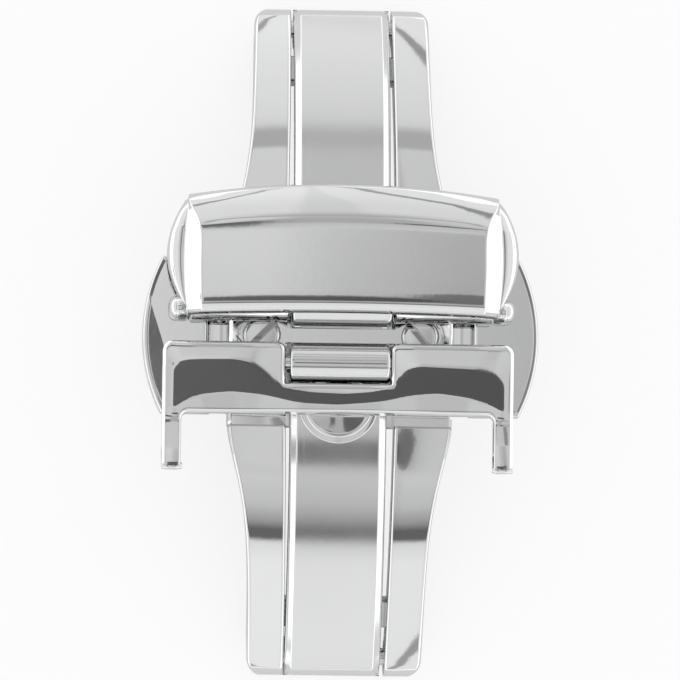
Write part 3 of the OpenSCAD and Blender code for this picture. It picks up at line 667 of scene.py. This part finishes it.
# %% [markdown]
# ## The strap fork
# The fork is a thick plate that is rolled round its hinge pin, with a prong at each side. Its face is
# not one plane: a long batwing shaped flat leans towards the strap, and buffing has worn the metal
# away from it all round, so light breaks along the batwing's border. Modelling that by hand is slow.
# Here the plate is a height over the plan, summed from three rules: the leaning flat, a slope that
# grows with the distance outside the batwing, and a round edge that grows near the outline.


# %% Distances in the plan
def distance(x, q, path, closed=True):
    """Distance of every point to the nearest segment of a path of (x, q)."""
    start = np.array(path, float)
    way = (np.roll(start, -1, 0) - start) if closed else np.diff(start, axis=0)
    start = start if closed else start[:-1]
    point = np.stack([x, q], -1)[..., None, :] - start
    share = np.clip((point * way).sum(-1) / np.maximum((way**2).sum(-1), 1e-12), 0, 1)
    return np.linalg.norm(point - share[..., None] * way, axis=-1).min(-1)


def inside(x, q, path):
    """True for points within a closed path, counted by the sides to their right."""
    x0, q0 = np.array(path, float).T
    x1, q1 = np.roll(x0, -1), np.roll(q0, -1)
    crosses = (q0 > q[..., None]) != (q1 > q[..., None])
    at = x0 + (q[..., None] - q0) * (x1 - x0) / np.where(q1 == q0, 1e-9, q1 - q0)
    return (crosses & (x[..., None] < at)).sum(-1) % 2 == 1


def smooth_path(points, cut=0.35, fill=3):
    """The same outline with every corner rounded."""
    return rounded(np.array(points, float), cut, fill=fill, steps=8)


batwing = smooth_path([
    (-9.58, 2.13), (-9.22, 1.70), (-8.5, 1.56), (-6.0, 1.52), (-4.9, 1.74), (-4.15, 2.25),
    (-3.5, 2.86), (-2.8, 3.20), (-1.6, 3.38), (0.4, 3.45), (2.0, 3.32), (2.95, 3.06), (3.4, 2.54),
    (3.85, 2.04), (4.6, 1.80), (6.1, 1.86), (8.2, 1.94), (9.18, 2.20), (9.65, 2.73), (9.67, 4.44),
    (8.9, 4.03), (7.6, 3.60), (5.8, 3.36), (4.4, 3.48), (2.4, 3.90), (0.0, 4.10), (-2.2, 4.02),
    (-4.4, 3.56), (-6.2, 3.40), (-7.9, 3.58), (-8.9, 3.98), (-9.60, 4.44)], 0.3)

# %% Fork outline
FORK_X, GAP_X, NOTCH_X = 10.15, 9.05, 3.05
FORK_IN, NOTCH_Y, PLATE_Y, FOOT_Y, PRONG_Y = 0.49, 2.84, 4.65, 7.1, 7.93
FILLET, CORNER, NOTCH_R, TIP_R = 0.4, 0.6, 0.45, 0.3
turn = np.radians(np.linspace(0, 90, 13))
rise, ahead_of = np.sin(turn), 1 - np.cos(turn)
fillet = np.stack([GAP_X - FILLET * (1 - rise), PLATE_Y + FILLET * ahead_of], -1)
outer_corner = np.stack([FORK_X - CORNER * (1 - rise), FORK_IN + CORNER * ahead_of], -1)
notch_corner = np.stack([NOTCH_X + NOTCH_R * ahead_of, FORK_IN + NOTCH_R * (1 - rise)], -1)
half_outline = np.concatenate([
    [(0, NOTCH_Y), (NOTCH_X, NOTCH_Y)], notch_corner, outer_corner,
    [(FORK_X, PRONG_Y + 1), (GAP_X, PRONG_Y + 1)], fillet[::-1], [(0, PLATE_Y)]])
fork_outline = np.concatenate([half_outline, half_outline[::-1] * np.array([-1, 1])])


def columns_x():
    """Columns across the fork, close together beside every upright edge. Two share each wall. The
    second list says where a column stands: 0 over the notch, 1 on the plate, 2 on a prong."""
    near = np.array([0, 0.015, 0.045, 0.09, 0.15, 0.22, 0.3, 0.42])
    thin = np.array([0, 0.012, 0.03, 0.055, 0.085, 0.12, 0.16, 0.22])
    parts = [np.linspace(0, 2.2, 9), NOTCH_X - near[::-1], NOTCH_X + near, np.linspace(3.8, 8.2, 18),
             GAP_X - FILLET + FILLET * np.sin(np.linspace(0, np.pi / 2, 16)), GAP_X + thin,
             np.linspace(9.4, 9.85, 6), FORK_X - thin[::-1]]
    where = np.repeat([0, 0, 1, 1, 1, 2, 2, 2], [len(part) for part in parts])
    half = np.concatenate(parts)
    return np.concatenate([-half[::-1], half[1:]]), np.concatenate([where[::-1], where[1:]])


def edge_round(d, radius):
    """How far a round edge of that radius has fallen at the distance d from the outline."""
    return radius - np.sqrt(np.maximum(radius**2 - np.maximum(radius - d, 0) ** 2, 0))


def bend(reach, centre, radius):
    """How far a rounded corner has left its side, at a distance past the corner's centre."""
    return radius - np.sqrt(np.maximum(radius**2 - np.clip(reach - centre, 0, radius) ** 2, 0))


def fork_rows(x, zone):
    """q of each point: every column is divided between the hinge edge, the notch, the plate's outer
    edge, the fillet and the prong's tip, and points crowd beside each of them."""
    ease = np.array([0, 0.006, 0.018, 0.038, 0.065, 0.10, 0.16])
    plate = np.concatenate([ease, np.linspace(0.16, 0.86, 18)[1:-1], 1 - 0.8 * ease[::-1]])
    prong = np.concatenate([np.linspace(0, 0.84, 26), 1 - ease[::-1][1:]])
    reach = np.abs(x)
    arc = PLATE_Y + bend(reach, GAP_X - FILLET, FILLET)
    hinge_edge = FORK_IN + np.maximum(bend(reach, FORK_X - CORNER, CORNER),
                                      bend(-reach, -NOTCH_X - NOTCH_R, NOTCH_R))
    hinge_edge = np.where(zone == 0, NOTCH_Y, hinge_edge)
    stops = [hinge_edge, np.maximum(hinge_edge, NOTCH_Y), PLATE_Y + 0 * x,
             np.where(zone == 2, PLATE_Y + FILLET, arc), np.where(zone == 2, PRONG_Y, arc)]
    rows = [stops[0][:, None]]
    for k, share in enumerate((plate, plate, np.linspace(0, 1, 10), prong)):
        rows.append(stops[k][:, None] + (stops[k + 1] - stops[k])[:, None] * share[1:])
    return np.concatenate(rows, 1)


# %% Fork heights
def fork_top(x, q, d, tip):
    """The leaning flat, less a tenth of the distance from the batwing. A prong's top runs on in its
    own gentle curve. The round edge is an ellipse of the distances to the side and to the tip, and
    along the outer sides it is a straight bevel instead."""
    away = np.where(inside(x, q, batwing), 0, distance(x, q, batwing))
    face = 1.97 - math.tan(math.radians(4.4)) * (q - FORK_IN) - 0.1 * (np.sqrt(away**2 + 0.0004) - 0.02)
    line = np.linspace(4.4, 8.2, 200)
    prongs = []
    for points in ([(4.4, 0.4), (4.8, 1.7), (6.6, 1.6), (7.3, 0.0), (8.2, -2.0)],
                   [(4.4, -1.0), (4.85, 2.0), (6.15, 2.0), (6.5, 0.8), (7.3, 0.0), (8.2, -2.0)]):
        rise = np.tan(np.radians(eased(line, points))) * (line[1] - line[0])
        prongs.append(np.interp(q, line, 1.62 + np.cumsum(rise)))
    ridge = np.where(x < 0, 9.6, 9.40 + 0.1 * (q - 5.5))
    crown = np.where(x < 0, 0.03, 0.045) * (np.abs(x) - ridge) ** 2
    prong = np.where(x < 0, prongs[0], prongs[1]) - crown
    w = np.clip((q - 4.45) / 0.7, 0, 1)
    w = w * w * (3 - 2 * w)
    outer = np.clip((np.abs(x) - 9.5) / 0.3, 0, 1)
    radius = (0.26 - 0.14 * np.clip((q - 4.6) / 0.5, 0, 1)) * (1 - outer) + 0.17 * outer
    side = np.maximum(1 - d / radius, 0)
    end = np.maximum(1 - tip / 0.3, 0)
    s = np.minimum(np.sqrt(side**2 + end**2), 1)
    deep = radius + (0.26 - radius) * np.clip((q - 7.4) / 0.3, 0, 1)
    bevel = 0.73 * np.maximum(0.17 - d, 0) + 0.26 * (1 - np.sqrt(1 - np.minimum(end, 1) ** 2))
    fall = deep * (1 - np.sqrt(1 - s**2)) * (1 - outer) + bevel * outer
    return face * (1 - w) + prong * w - fall


def fork_low(q, d, tip, zone):
    """The underside: round the pin, then level under the plate or along the prong's foot."""
    roll = 0.95 - np.sqrt(np.maximum(1.12**2 - (q - BARREL_Y) ** 2, 0))
    plate = np.where(q < 2.666, np.minimum(roll, 0.95), 0.55)
    prong = np.where(q < BARREL_Y, roll, -0.17 + 0.27 * (q - BARREL_Y) / (FOOT_Y - BARREL_Y))
    low = np.where(zone[:, None] == 2, prong, plate)
    return low + edge_round(d, np.where(q > 5, 0.1, 0.25)) + edge_round(tip, 0.65)


def fork_shell():
    """Each column runs over the top from the hinge edge to the outer edge or tip and back below. A
    prong's columns draw together at its tip, so its corners are round in plan."""
    x, zone = columns_x()
    q = fork_rows(x, zone)
    wide = np.broadcast_to(x[:, None], q.shape)
    d = distance(wide, q, fork_outline)
    middle, half = (FORK_X + GAP_X) / 2, (FORK_X - GAP_X) / 2
    share = (np.abs(wide) - middle) / half
    drawn_in = half - bend(q, PRONG_Y - TIP_R, TIP_R)
    on_prong = (zone[:, None] == 2) & (q > 6)
    d = np.where(on_prong, (1 - np.abs(share)) * drawn_in, d)
    plan_x = np.where(on_prong, np.sign(wide) * (middle + share * drawn_in), wide)
    tip = np.where(zone[:, None] == 2, PRONG_Y - q, 9)
    low = fork_low(q, d, tip, zone)
    top = np.maximum(fork_top(wide, q, d, tip), low + 0.02)
    ring_q, ring_z = np.concatenate([q, q[:, ::-1]], 1), np.concatenate([top, low[:, ::-1]], 1)
    ring_x = np.concatenate([plan_x, plan_x[:, ::-1]], 1)
    return shell(np.stack([ring_x, -ring_q, TOP_Z + ring_z], -1), ("zip", "zip"))


# %% Fork surface
FORK_PLAY = -0.2
heel = rod(GAP_X - 0.08, FORK_X + 0.02, 0.2, -(PRONG_Y - 0.2), TOP_Z + 1.47, edge=0.09, sides=48)
bores = []
for x in (-1, 1):
    bores += mirrored([turned([(8.8, 0.55), (10.4, 0.55)], -FOOT_Y, TOP_Z + 0.95),
                       turned([(9.6, 0.41), (10.8, 0.41)], -BARREL_Y, TOP_Z + 0.95)], x)
fork_parts = slid([fork_shell(), heel] + mirrored([heel], -1), FORK_PLAY)
fork_mesh = drilled(make_mesh("strap_fork", fork_parts), bores)
place("strap_fork", fork_mesh, "fork", mirror_steel,
      ["strap_fork", "left_prong", "right_prong"])

# %% [markdown]
# ## The buttons
# The ears at both sides are the release buttons. Each is a flat plate with an arched outer edge, a
# small bevel all round and a wider one at the inner edge. On the left one a thumb has rubbed the face
# away beyond a slanting line. The neck and two hooked arms reach into the block. The plate is built in
# slices along y, from the straight inner edge to the arc, and the arms are rounded bars.


# %% Button plate
EAR_IN, EAR_OUT, EAR_Y, EAR_TOP, EAR_T = 7.55, 11.5, 4.55, 0.45, 2.05
EAR_R = (EAR_Y**2 + 1.1**2) / 2.2


def ear_plate(wear):
    """Slices along y. In each, points run over the top to the arc and back below, and the distance
    to the plan's outline sets how far the edges have fallen."""
    near = np.array([0, 0.012, 0.035, 0.07, 0.12, 0.15, 0.22, 0.285, 0.315, 0.35])
    y = np.concatenate([-EAR_Y + near, np.linspace(-4.1, 4.1, 70), EAR_Y - near[::-1]])
    edge = EAR_OUT - EAR_R + np.sqrt(EAR_R**2 - y**2)
    even = np.linspace(0, 1, 56)[1:-1]
    edge = edge[:, None]
    x = np.concatenate([EAR_IN + near + 0 * edge, EAR_IN + 0.35 + (edge - EAR_IN - 0.7) * even,
                        edge - near[::-1]], 1)
    wide = np.broadcast_to(y[:, None], x.shape)
    arc_y = np.linspace(-EAR_Y, EAR_Y, 81)
    plan = np.concatenate([np.stack([EAR_OUT - EAR_R + np.sqrt(EAR_R**2 - arc_y**2), arc_y], -1),
                           [(EAR_IN, EAR_Y), (EAR_IN, -EAR_Y)]])
    d = distance(x, wide, plan)
    worn = np.maximum((x - 10.61) * 0.953 - (wide - 0.67) * 0.302, 0)
    rim = 0.14 * np.clip(0.3 - d, 0, 0.3) + edge_round(d, 0.12)
    rim = rim + 0.9 * np.clip(0.32 - (x - EAR_IN), 0, 0.32)
    top = -EAR_TOP - rim - wear * worn
    low = -EAR_TOP - EAR_T + edge_round(d, 0.2)
    ring = np.stack([np.concatenate([x, x[:, ::-1]], 1), np.concatenate([wide, wide[:, ::-1]], 1),
                     TOP_Z + np.concatenate([top, low[:, ::-1]], 1)], -1)
    return shell(ring, ("zip", "zip"))


# %% Button arms
def button_shells(arm_depth, wear):
    """The plate, its neck, and for each end an arm, a finger and the peg that holds the spring."""
    floor_z, tip = TOP_Z - arm_depth, -1.45
    parts = [ear_plate(wear), rounded_box((6.1, -0.7, TOP_Z - 1.55), (7.95, 0.7, TOP_Z - 0.95), 0.08)]
    for y in (-1, 1):
        arm = rounded_box((tip, 1.95, floor_z), (7.95, 2.95, floor_z + 0.5), 0.06)
        finger = rounded_box((tip, 2.6, floor_z), (tip + 0.8, 4.3, floor_z + 0.5), 0.06)
        peg = rod(7.1, 7.95, 0.22, 1.25, TOP_Z - 1.3, edge=0.05, sides=32)
        parts += mirrored([arm, finger, peg], 1, y)
    return parts


for side, x, depth, wear in (("left", -1, 1.95, 0.0787), ("right", 1, 2.50, 0.0)):
    mesh = make_mesh(f"{side}_button", mirrored(button_shells(depth, wear), x), crease=40)
    place(f"{side}_button", mesh, f"{side}_button", mirror_steel)

# %% [markdown]
# ## The block and the plate against the wrist
# These two are milled, with channels, holes and a precise outline, so their CAD shape is right. Only
# their razor edges are wrong. A copy of each node is cleaned, because a CAD mesh is loose triangles:
# doubles are merged and flat triangles dissolved. The block's long sides get a chamfer, its two barrel
# grooves a little more room, and then a Bevel modifier rounds the long edges of both pieces.

# %% Block and back plate
def softened(node_name, width, cutters=()):
    """A clean copy of a CAD node's mesh, less the cutters, with a bevel on every edge that turns by
    over 50 degrees."""
    mesh, clean = bpy.data.meshes.new(node_name + "_soft"), bmesh.new()
    clean.from_mesh(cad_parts[node_name].data)
    bmesh.ops.remove_doubles(clean, verts=clean.verts, dist=1e-6)
    bmesh.ops.dissolve_limit(clean, angle_limit=math.radians(1), verts=clean.verts, edges=clean.edges)
    clean.to_mesh(mesh)
    clean.free()
    mesh = drilled(mesh, cutters, 35) if cutters else mesh
    mesh.shade_smooth()
    mesh.set_sharp_from_angle(angle=math.radians(35))
    piece = place(node_name, mesh, "base", mirror_steel)
    bevel = piece.modifiers.new("edges", "BEVEL")
    bevel.width, bevel.segments, bevel.limit_method = width / 1000, 3, "ANGLE"
    bevel.angle_limit, bevel.harden_normals = math.radians(50), True
    return piece


BLOCK_X, CHAMFER, GROOVE_R, OVER = 6.5, 0.2, 1.28, 0.1
triangle = np.array([(BLOCK_X - CHAMFER - OVER, OVER), (BLOCK_X + OVER, -CHAMFER - OVER),
                     (BLOCK_X + OVER, OVER)])
prism = np.stack([np.stack([triangle[:, 0], 0 * triangle[:, 0] + y, TOP_Z + triangle[:, 1]], -1)
                  for y in (-BLOCK_Y - 2 * OVER, BLOCK_Y + 2 * OVER)])
chamfers = [shell(prism)] + mirrored([shell(prism)], -1)
grooves = [turned([(-6.8, GROOVE_R), (6.8, GROOVE_R)], y, TOP_Z + BARREL_H, 96)
           for y in (-BARREL_Y, BARREL_Y)]
softened("center_block", 0.12, chamfers + grooves)
softened("back_plate", 0.15)

# %% [markdown]
# ## Screws, pins and ties
# The two screws are sunk in the block. Their heads have a chamfered ring and a milled slot, and no
# two screws stop at the same angle. The hinge pins are plain rods with domed ends, and the tie bars
# are short strips under the slots. All are turned or rounded shapes, with a turned finish.

# %% Block screws
SCREW_X = 4.6


def screw_shell():
    """A turned head whose edge is chamfered, on its shank."""
    head = [(0.02, -0.5), (1.02, -0.5), (1.08, -0.44), (1.08, -0.18), (1.05, -0.13), (0.94, -0.055),
            (0.91, -0.045), (0.8, -0.04), (0.02, -0.035)]
    shank = [(0.02, -2.98), (0.5, -2.98), (0.58, -2.9), (0.58, -0.48), (0.02, -0.48)]
    return [upright(head, SCREW_X, 0, TOP_Z, 72), upright(shank, SCREW_X, 0, TOP_Z, 48)]


def slot_cutter(angle, tilt):
    """The mill that cuts the slot: a long box, tilted a little and turned about the screw's axis."""
    points, faces = rounded_box((-1.4, -0.19, -0.22), (1.4, 0.19, 0.4), 0.02)
    turn = Matrix.Rotation(math.radians(angle), 3, "Z") @ Matrix.Rotation(math.radians(tilt), 3, "X")
    turn = np.array(turn)
    return [(points @ turn.T + np.array([SCREW_X, 0, TOP_Z]), faces)]


for side, x, angle, tilt in (("left", -1, -45, 12), ("right", 1, -50, -10.7)):
    screw = mirrored(screw_shell(), x)
    mesh = drilled(make_mesh(f"{side}_screw", screw), mirrored(slot_cutter(angle, tilt), x), 30)
    place(f"{side}_screw", mesh, "base", screw_finish, [f"{side}_block_screw"])

# %% Pins
def domed_rod(half, radius, y, z, dome=0.12):
    """A turned rod from -half to half whose ends are shallow domes with a rounded rim."""
    bend = np.linspace(0, 1, 9)[1:]
    end_x = half - dome * bend**2.5
    end_r = radius * np.sqrt(bend) * 0.98
    end = np.stack([np.append(end_x, half - dome - 0.05), np.append(end_r, radius)], -1)
    end = np.concatenate([[[half, 0.01]], end])
    return turned(np.concatenate([end * np.array([-1, 1]), end[::-1]]), y, z, 48)


pins = [("upper_end_pin", "base", 5.0, 0.5, END_Y, EYE_R),
        ("lower_end_pin", "base", 5.0, 0.5, -END_Y, EYE_R),
        ("cover_hinge_pin", "cover", 9.85, 0.4, BARREL_Y, TOP_Z + BARREL_H),
        ("fork_hinge_pin", "fork", 9.9, 0.4, -BARREL_Y, TOP_Z + BARREL_H)]
for name, body, half, radius, y, z in pins:
    place(name, make_mesh(name, [domed_rod(half, radius, y, z)]), body, pin_finish)
for side, x in (("left", -3.6), ("right", 3.6)):
    guide = [(0.01, -2.55), (0.20, -2.55), (0.22, -2.5), (0.22, -1.02), (0.17, -0.96), (0.01, -0.95)]
    mesh = make_mesh(f"{side}_guides", [upright(guide, x, y, TOP_Z, 32) for y in (-2.45, 2.45)])
    place(f"{side}_guide_pins", mesh, "base", pin_finish)

# %% Tie bars
TIE_ANGLE = math.asin((15.6 - BLOCK_Y) / (ARCH_R - 2.0))
for end, y in (("upper", 1), ("lower", -1)):
    inner = ARCH_R - 2.0 + 0.05
    points, faces = rounded_box((-3.7, -0.9, inner), (3.7, 0.9, inner + 0.7), 0.12)
    tilt = np.array(Matrix.Rotation(-TIE_ANGLE, 3, "X"))
    points = points @ tilt.T + np.array([0, BLOCK_Y, ARCH_Z])
    mesh = make_mesh(f"{end}_tie", mirrored([(points, faces)], 1, y))
    place(f"{end}_tie_bar", mesh, "base", pin_finish)

# %% [markdown]
# ## Button springs
# Four coil springs push the buttons out. A coil is a circle carried along a helix, so both angles
# are the two parameters of its surface. Drawn wire is duller than polished steel. The springs can't
# follow a joint as a whole, so each rides on the base.


# %% Springs
def spring_shell(start, length, y, z, radius=0.38, wire=0.07, turns=5, steps=200):
    """Rings of the wire along a helix of even pitch."""
    w = np.linspace(0, 1, steps)
    angle = 2 * np.pi * turns * w
    run = start + wire + (length - 2 * wire) * w
    out = np.stack([0 * w, np.cos(angle), np.sin(angle)], -1)
    centre = np.stack([run, y + radius * out[:, 1], z + radius * out[:, 2]], -1)
    around = np.linspace(0, 2 * np.pi, 14, endpoint=False)[None, :, None]
    axis = np.array([1.0, 0, 0])
    return shell(centre[:, None] + wire * (np.cos(around) * out[:, None] + np.sin(around) * axis))


SPRING_X, SPRING_LENGTH, SPRING_KEEP = 4.95, 2.58, 0.69
for side, x in (("left", -1), ("right", 1)):
    for end, y in (("upper", 1.25), ("lower", -1.25)):
        name = f"{side}_{end}_spring"
        spring = mirrored([spring_shell(SPRING_X, SPRING_LENGTH, y, TOP_Z - 1.3)], x)
        piece = place(name, make_mesh(name, spring), "base", wire_finish)
        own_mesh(piece)

# %% [markdown]
# ## Camera, floor and light tent
# The photograph looks almost straight down, a few degrees from the strap's end and from the left.
# A long lens far away keeps the sides parallel. Steel shows nothing but its surroundings, so the
# world is a soft white tent with the few darker shapes that the photographer leaves in it.

# %% Camera
target = Vector((-0.000058, -0.000232, TOP_Z / 1000))
lean_x, lean_y, roll = math.radians(2.4), math.radians(3.6), math.radians(0.70)
back = Vector((-math.tan(lean_x), -math.tan(lean_y), 1)).normalized()
right_axis = Vector((0, 1, 0)).cross(back).normalized()
up_axis = back.cross(right_axis)
turn = Matrix.Rotation(roll, 3, back)
axes = Matrix((turn @ right_axis, turn @ up_axis, back)).transposed()
lens = bpy.data.cameras.new("camera")
camera = bpy.data.objects.new("camera", lens)
bpy.context.collection.objects.link(camera)
distance, field = 0.5, 680 * 0.000058
lens.lens = 36 * distance / field
lens.clip_start, lens.clip_end = 0.01, 10
camera.matrix_world = Matrix.Translation(target + distance * back) @ axes.to_4x4()
bpy.context.scene.camera = camera
print("lens", round(lens.lens), "mm from", distance, "m")

# %% Floor
floor_mesh = bpy.data.meshes.new("floor")
floor_mesh.from_pydata([(-1, -1, 0), (1, -1, 0), (1, 1, 0), (-1, 1, 0)], [], [(0, 1, 2, 3)])
floor = bpy.data.objects.new("floor", floor_mesh)
bpy.context.collection.objects.link(floor)
paper = bpy.data.materials.new("paper")
paper.use_nodes = True
tree = paper.node_tree
shader = tree.nodes["Principled BSDF"]
shader.inputs["Roughness"].default_value = 1.0
shader.inputs["Specular IOR Level"].default_value = 0.0
shader.inputs["Base Color"].default_value = (0.9, 0.9, 0.9, 1)
glow = node(tree, "ShaderNodeEmission", None, Color=(1, 1, 1, 1), Strength=1.0)
straight = node(tree, "ShaderNodeLightPath", None, out=0)
mixed = node(tree, "ShaderNodeMixShader", None, straight * 0.8, Flow(shader.outputs[0]), glow)
tree.links.new(mixed.socket, tree.nodes["Material Output"].inputs[0])
floor_mesh.materials.append(paper)

# %% Light tent
world = bpy.data.worlds.new("tent")
bpy.context.scene.world = world
world.use_nodes = True
tree = world.node_tree
tree.nodes.clear()
way = node(tree, "ShaderNodeTexCoord", out=0)
split = node(tree, "ShaderNodeSeparateXYZ", None, way).socket.node
dx, dy, dz = (Flow(output) for output in split.outputs)
degrees = 180 / math.pi
side = dx.math("ARCTAN2", dx, dz) * degrees
ahead = dy.math("ARCTAN2", dy, dz) * degrees


def levels(value, low, high, points):
    """A level read from points of (degrees, level), joined by straight lines, between two limits."""
    top = max(level for _, level in points)
    stops = [((degrees - low) / (high - low), level / top) for degrees, level in points]
    ramp = node(tree, "ShaderNodeValToRGB", {"stops": stops}, (value - low) / (high - low))
    return node(tree, "ShaderNodeSeparateColor", None, ramp) * top


def between(value, low, high, soft):
    """1 between two values and 0 outside, with soft borders."""
    return bump_edge(value, low - soft, low + soft) * (1 - bump_edge(value, high - soft, high + soft))


def disc(x, y, rx, ry, soft, power=2):
    """1 inside an ellipse of directions and 0 outside, with a soft border. A higher power makes the
    ellipse squarer."""
    far = (((side - x) / rx) ** power + ((ahead - y) / ry) ** power) ** (1 / power)
    return 1 - bump_edge(far, 1 - soft, 1 + soft)


level = levels(ahead, -180, 180, [
    (-180, 0.95), (-60, 1.0), (-40, 1.0), (-36, 0.92), (-33.8, 0.88), (-33.0, 0.15), (-28.8, 0.15),
    (-27.8, 0.36), (-25.6, 0.46), (-22, 0.64), (-10, 0.77), (1, 0.76), (6, 0.84), (9, 0.56), (14, 0.56),
    (22, 0.62), (35.2, 0.63), (36.2, 0.56), (41, 0.56), (43, 0.76), (46, 0.85), (80, 1.0), (180, 0.95)])
facing = levels(side, -10, 20, [
    (-10, 1.0), (-5, 1.08), (1.0, 1.11), (2.2, 0.91), (3.4, 0.82), (4.2, 0.75), (5.0, 0.69),
    (5.6, 0.75), (6.3, 0.90), (8.0, 1.0), (20, 1.0)])
leaning = levels(side, -10, 20, [
    (-10, 1.4), (0.3, 1.4), (0.75, 1.15), (1.0, 1.0), (4.3, 1.0), (4.65, 1.18), (5.0, 1.3),
    (20, 1.25)])
flat_part = bump_edge(ahead, -13.0, -8.0) * (1 - bump_edge(ahead, 5.2, 6.2))
steep = 1 - bump_edge(ahead, 34.8, 36.4) + 0.35 * bump_edge(ahead, 41.5, 43.5)
lean_part = (bump_edge(ahead, 10.0, 14.0) * steep
             + 0.35 * (1 - bump_edge(ahead, -14.0, -10.0)))
level = level * (1 + (facing - 1) * flat_part) * (1 + (leaning - 1) * lean_part)
left_strip = between(ahead, 7.0, 14.0, 0.3) * (1 - bump_edge(side, 0.4, 1.0))
right_strip = between(ahead, 8.5, 11.0, 0.3) * between(side, 3.7, 5.5, 0.2)
level = level * (1 - 0.72 * left_strip) * (1 - 0.70 * right_strip)
band = disc(1.86, -5.3, 2.26, 4.0, 0.08, 4)
leaf = disc(4.6, -4.2, 0.95 + 0.05 * (ahead + 4.2), 6.4, 0.06)
level = level * (1 - band.math("MAXIMUM", 0.82 * band, 0.62 * leaf))
level = level * (1 - 0.87 * disc(-7.3, 0.83, 0.5, 0.8, 0.15))
level = level * (1 - 0.55 * disc(6.8, 6.9, 1.3, 0.9, 0.2))
reach = side.math("ABSOLUTE", side)
level = level * (1 - 0.60 * between(reach, 17.5, 22.0, 0.5))
bright = between(reach, 57.0, 98.0, 3.0)
aside = bump_edge(reach, 24.0, 34.0)
level = level * (1 - aside) + (1.07 - 0.15 * bump_edge(reach, 98.0, 115.0)) * aside
level = level * (1 - bright) + 1.7 * bright
level = level * (1 - 0.90 * disc(-65.4, -5.9, 2.4, 6.6, 0.08, 4))
path = node(tree, "ShaderNodeLightPath")
glossy = Flow(path.socket.node.outputs["Is Glossy Ray"])
strength = level * glossy + 1.0 * (1 - glossy)
tent = node(tree, "ShaderNodeBackground", None, (1, 1, 1, 1), strength)
out = tree.nodes.new("ShaderNodeOutputWorld")
tree.links.new(tent.socket, out.inputs[0])

# %% Colour handling
bpy.context.scene.view_settings.view_transform = "Standard"
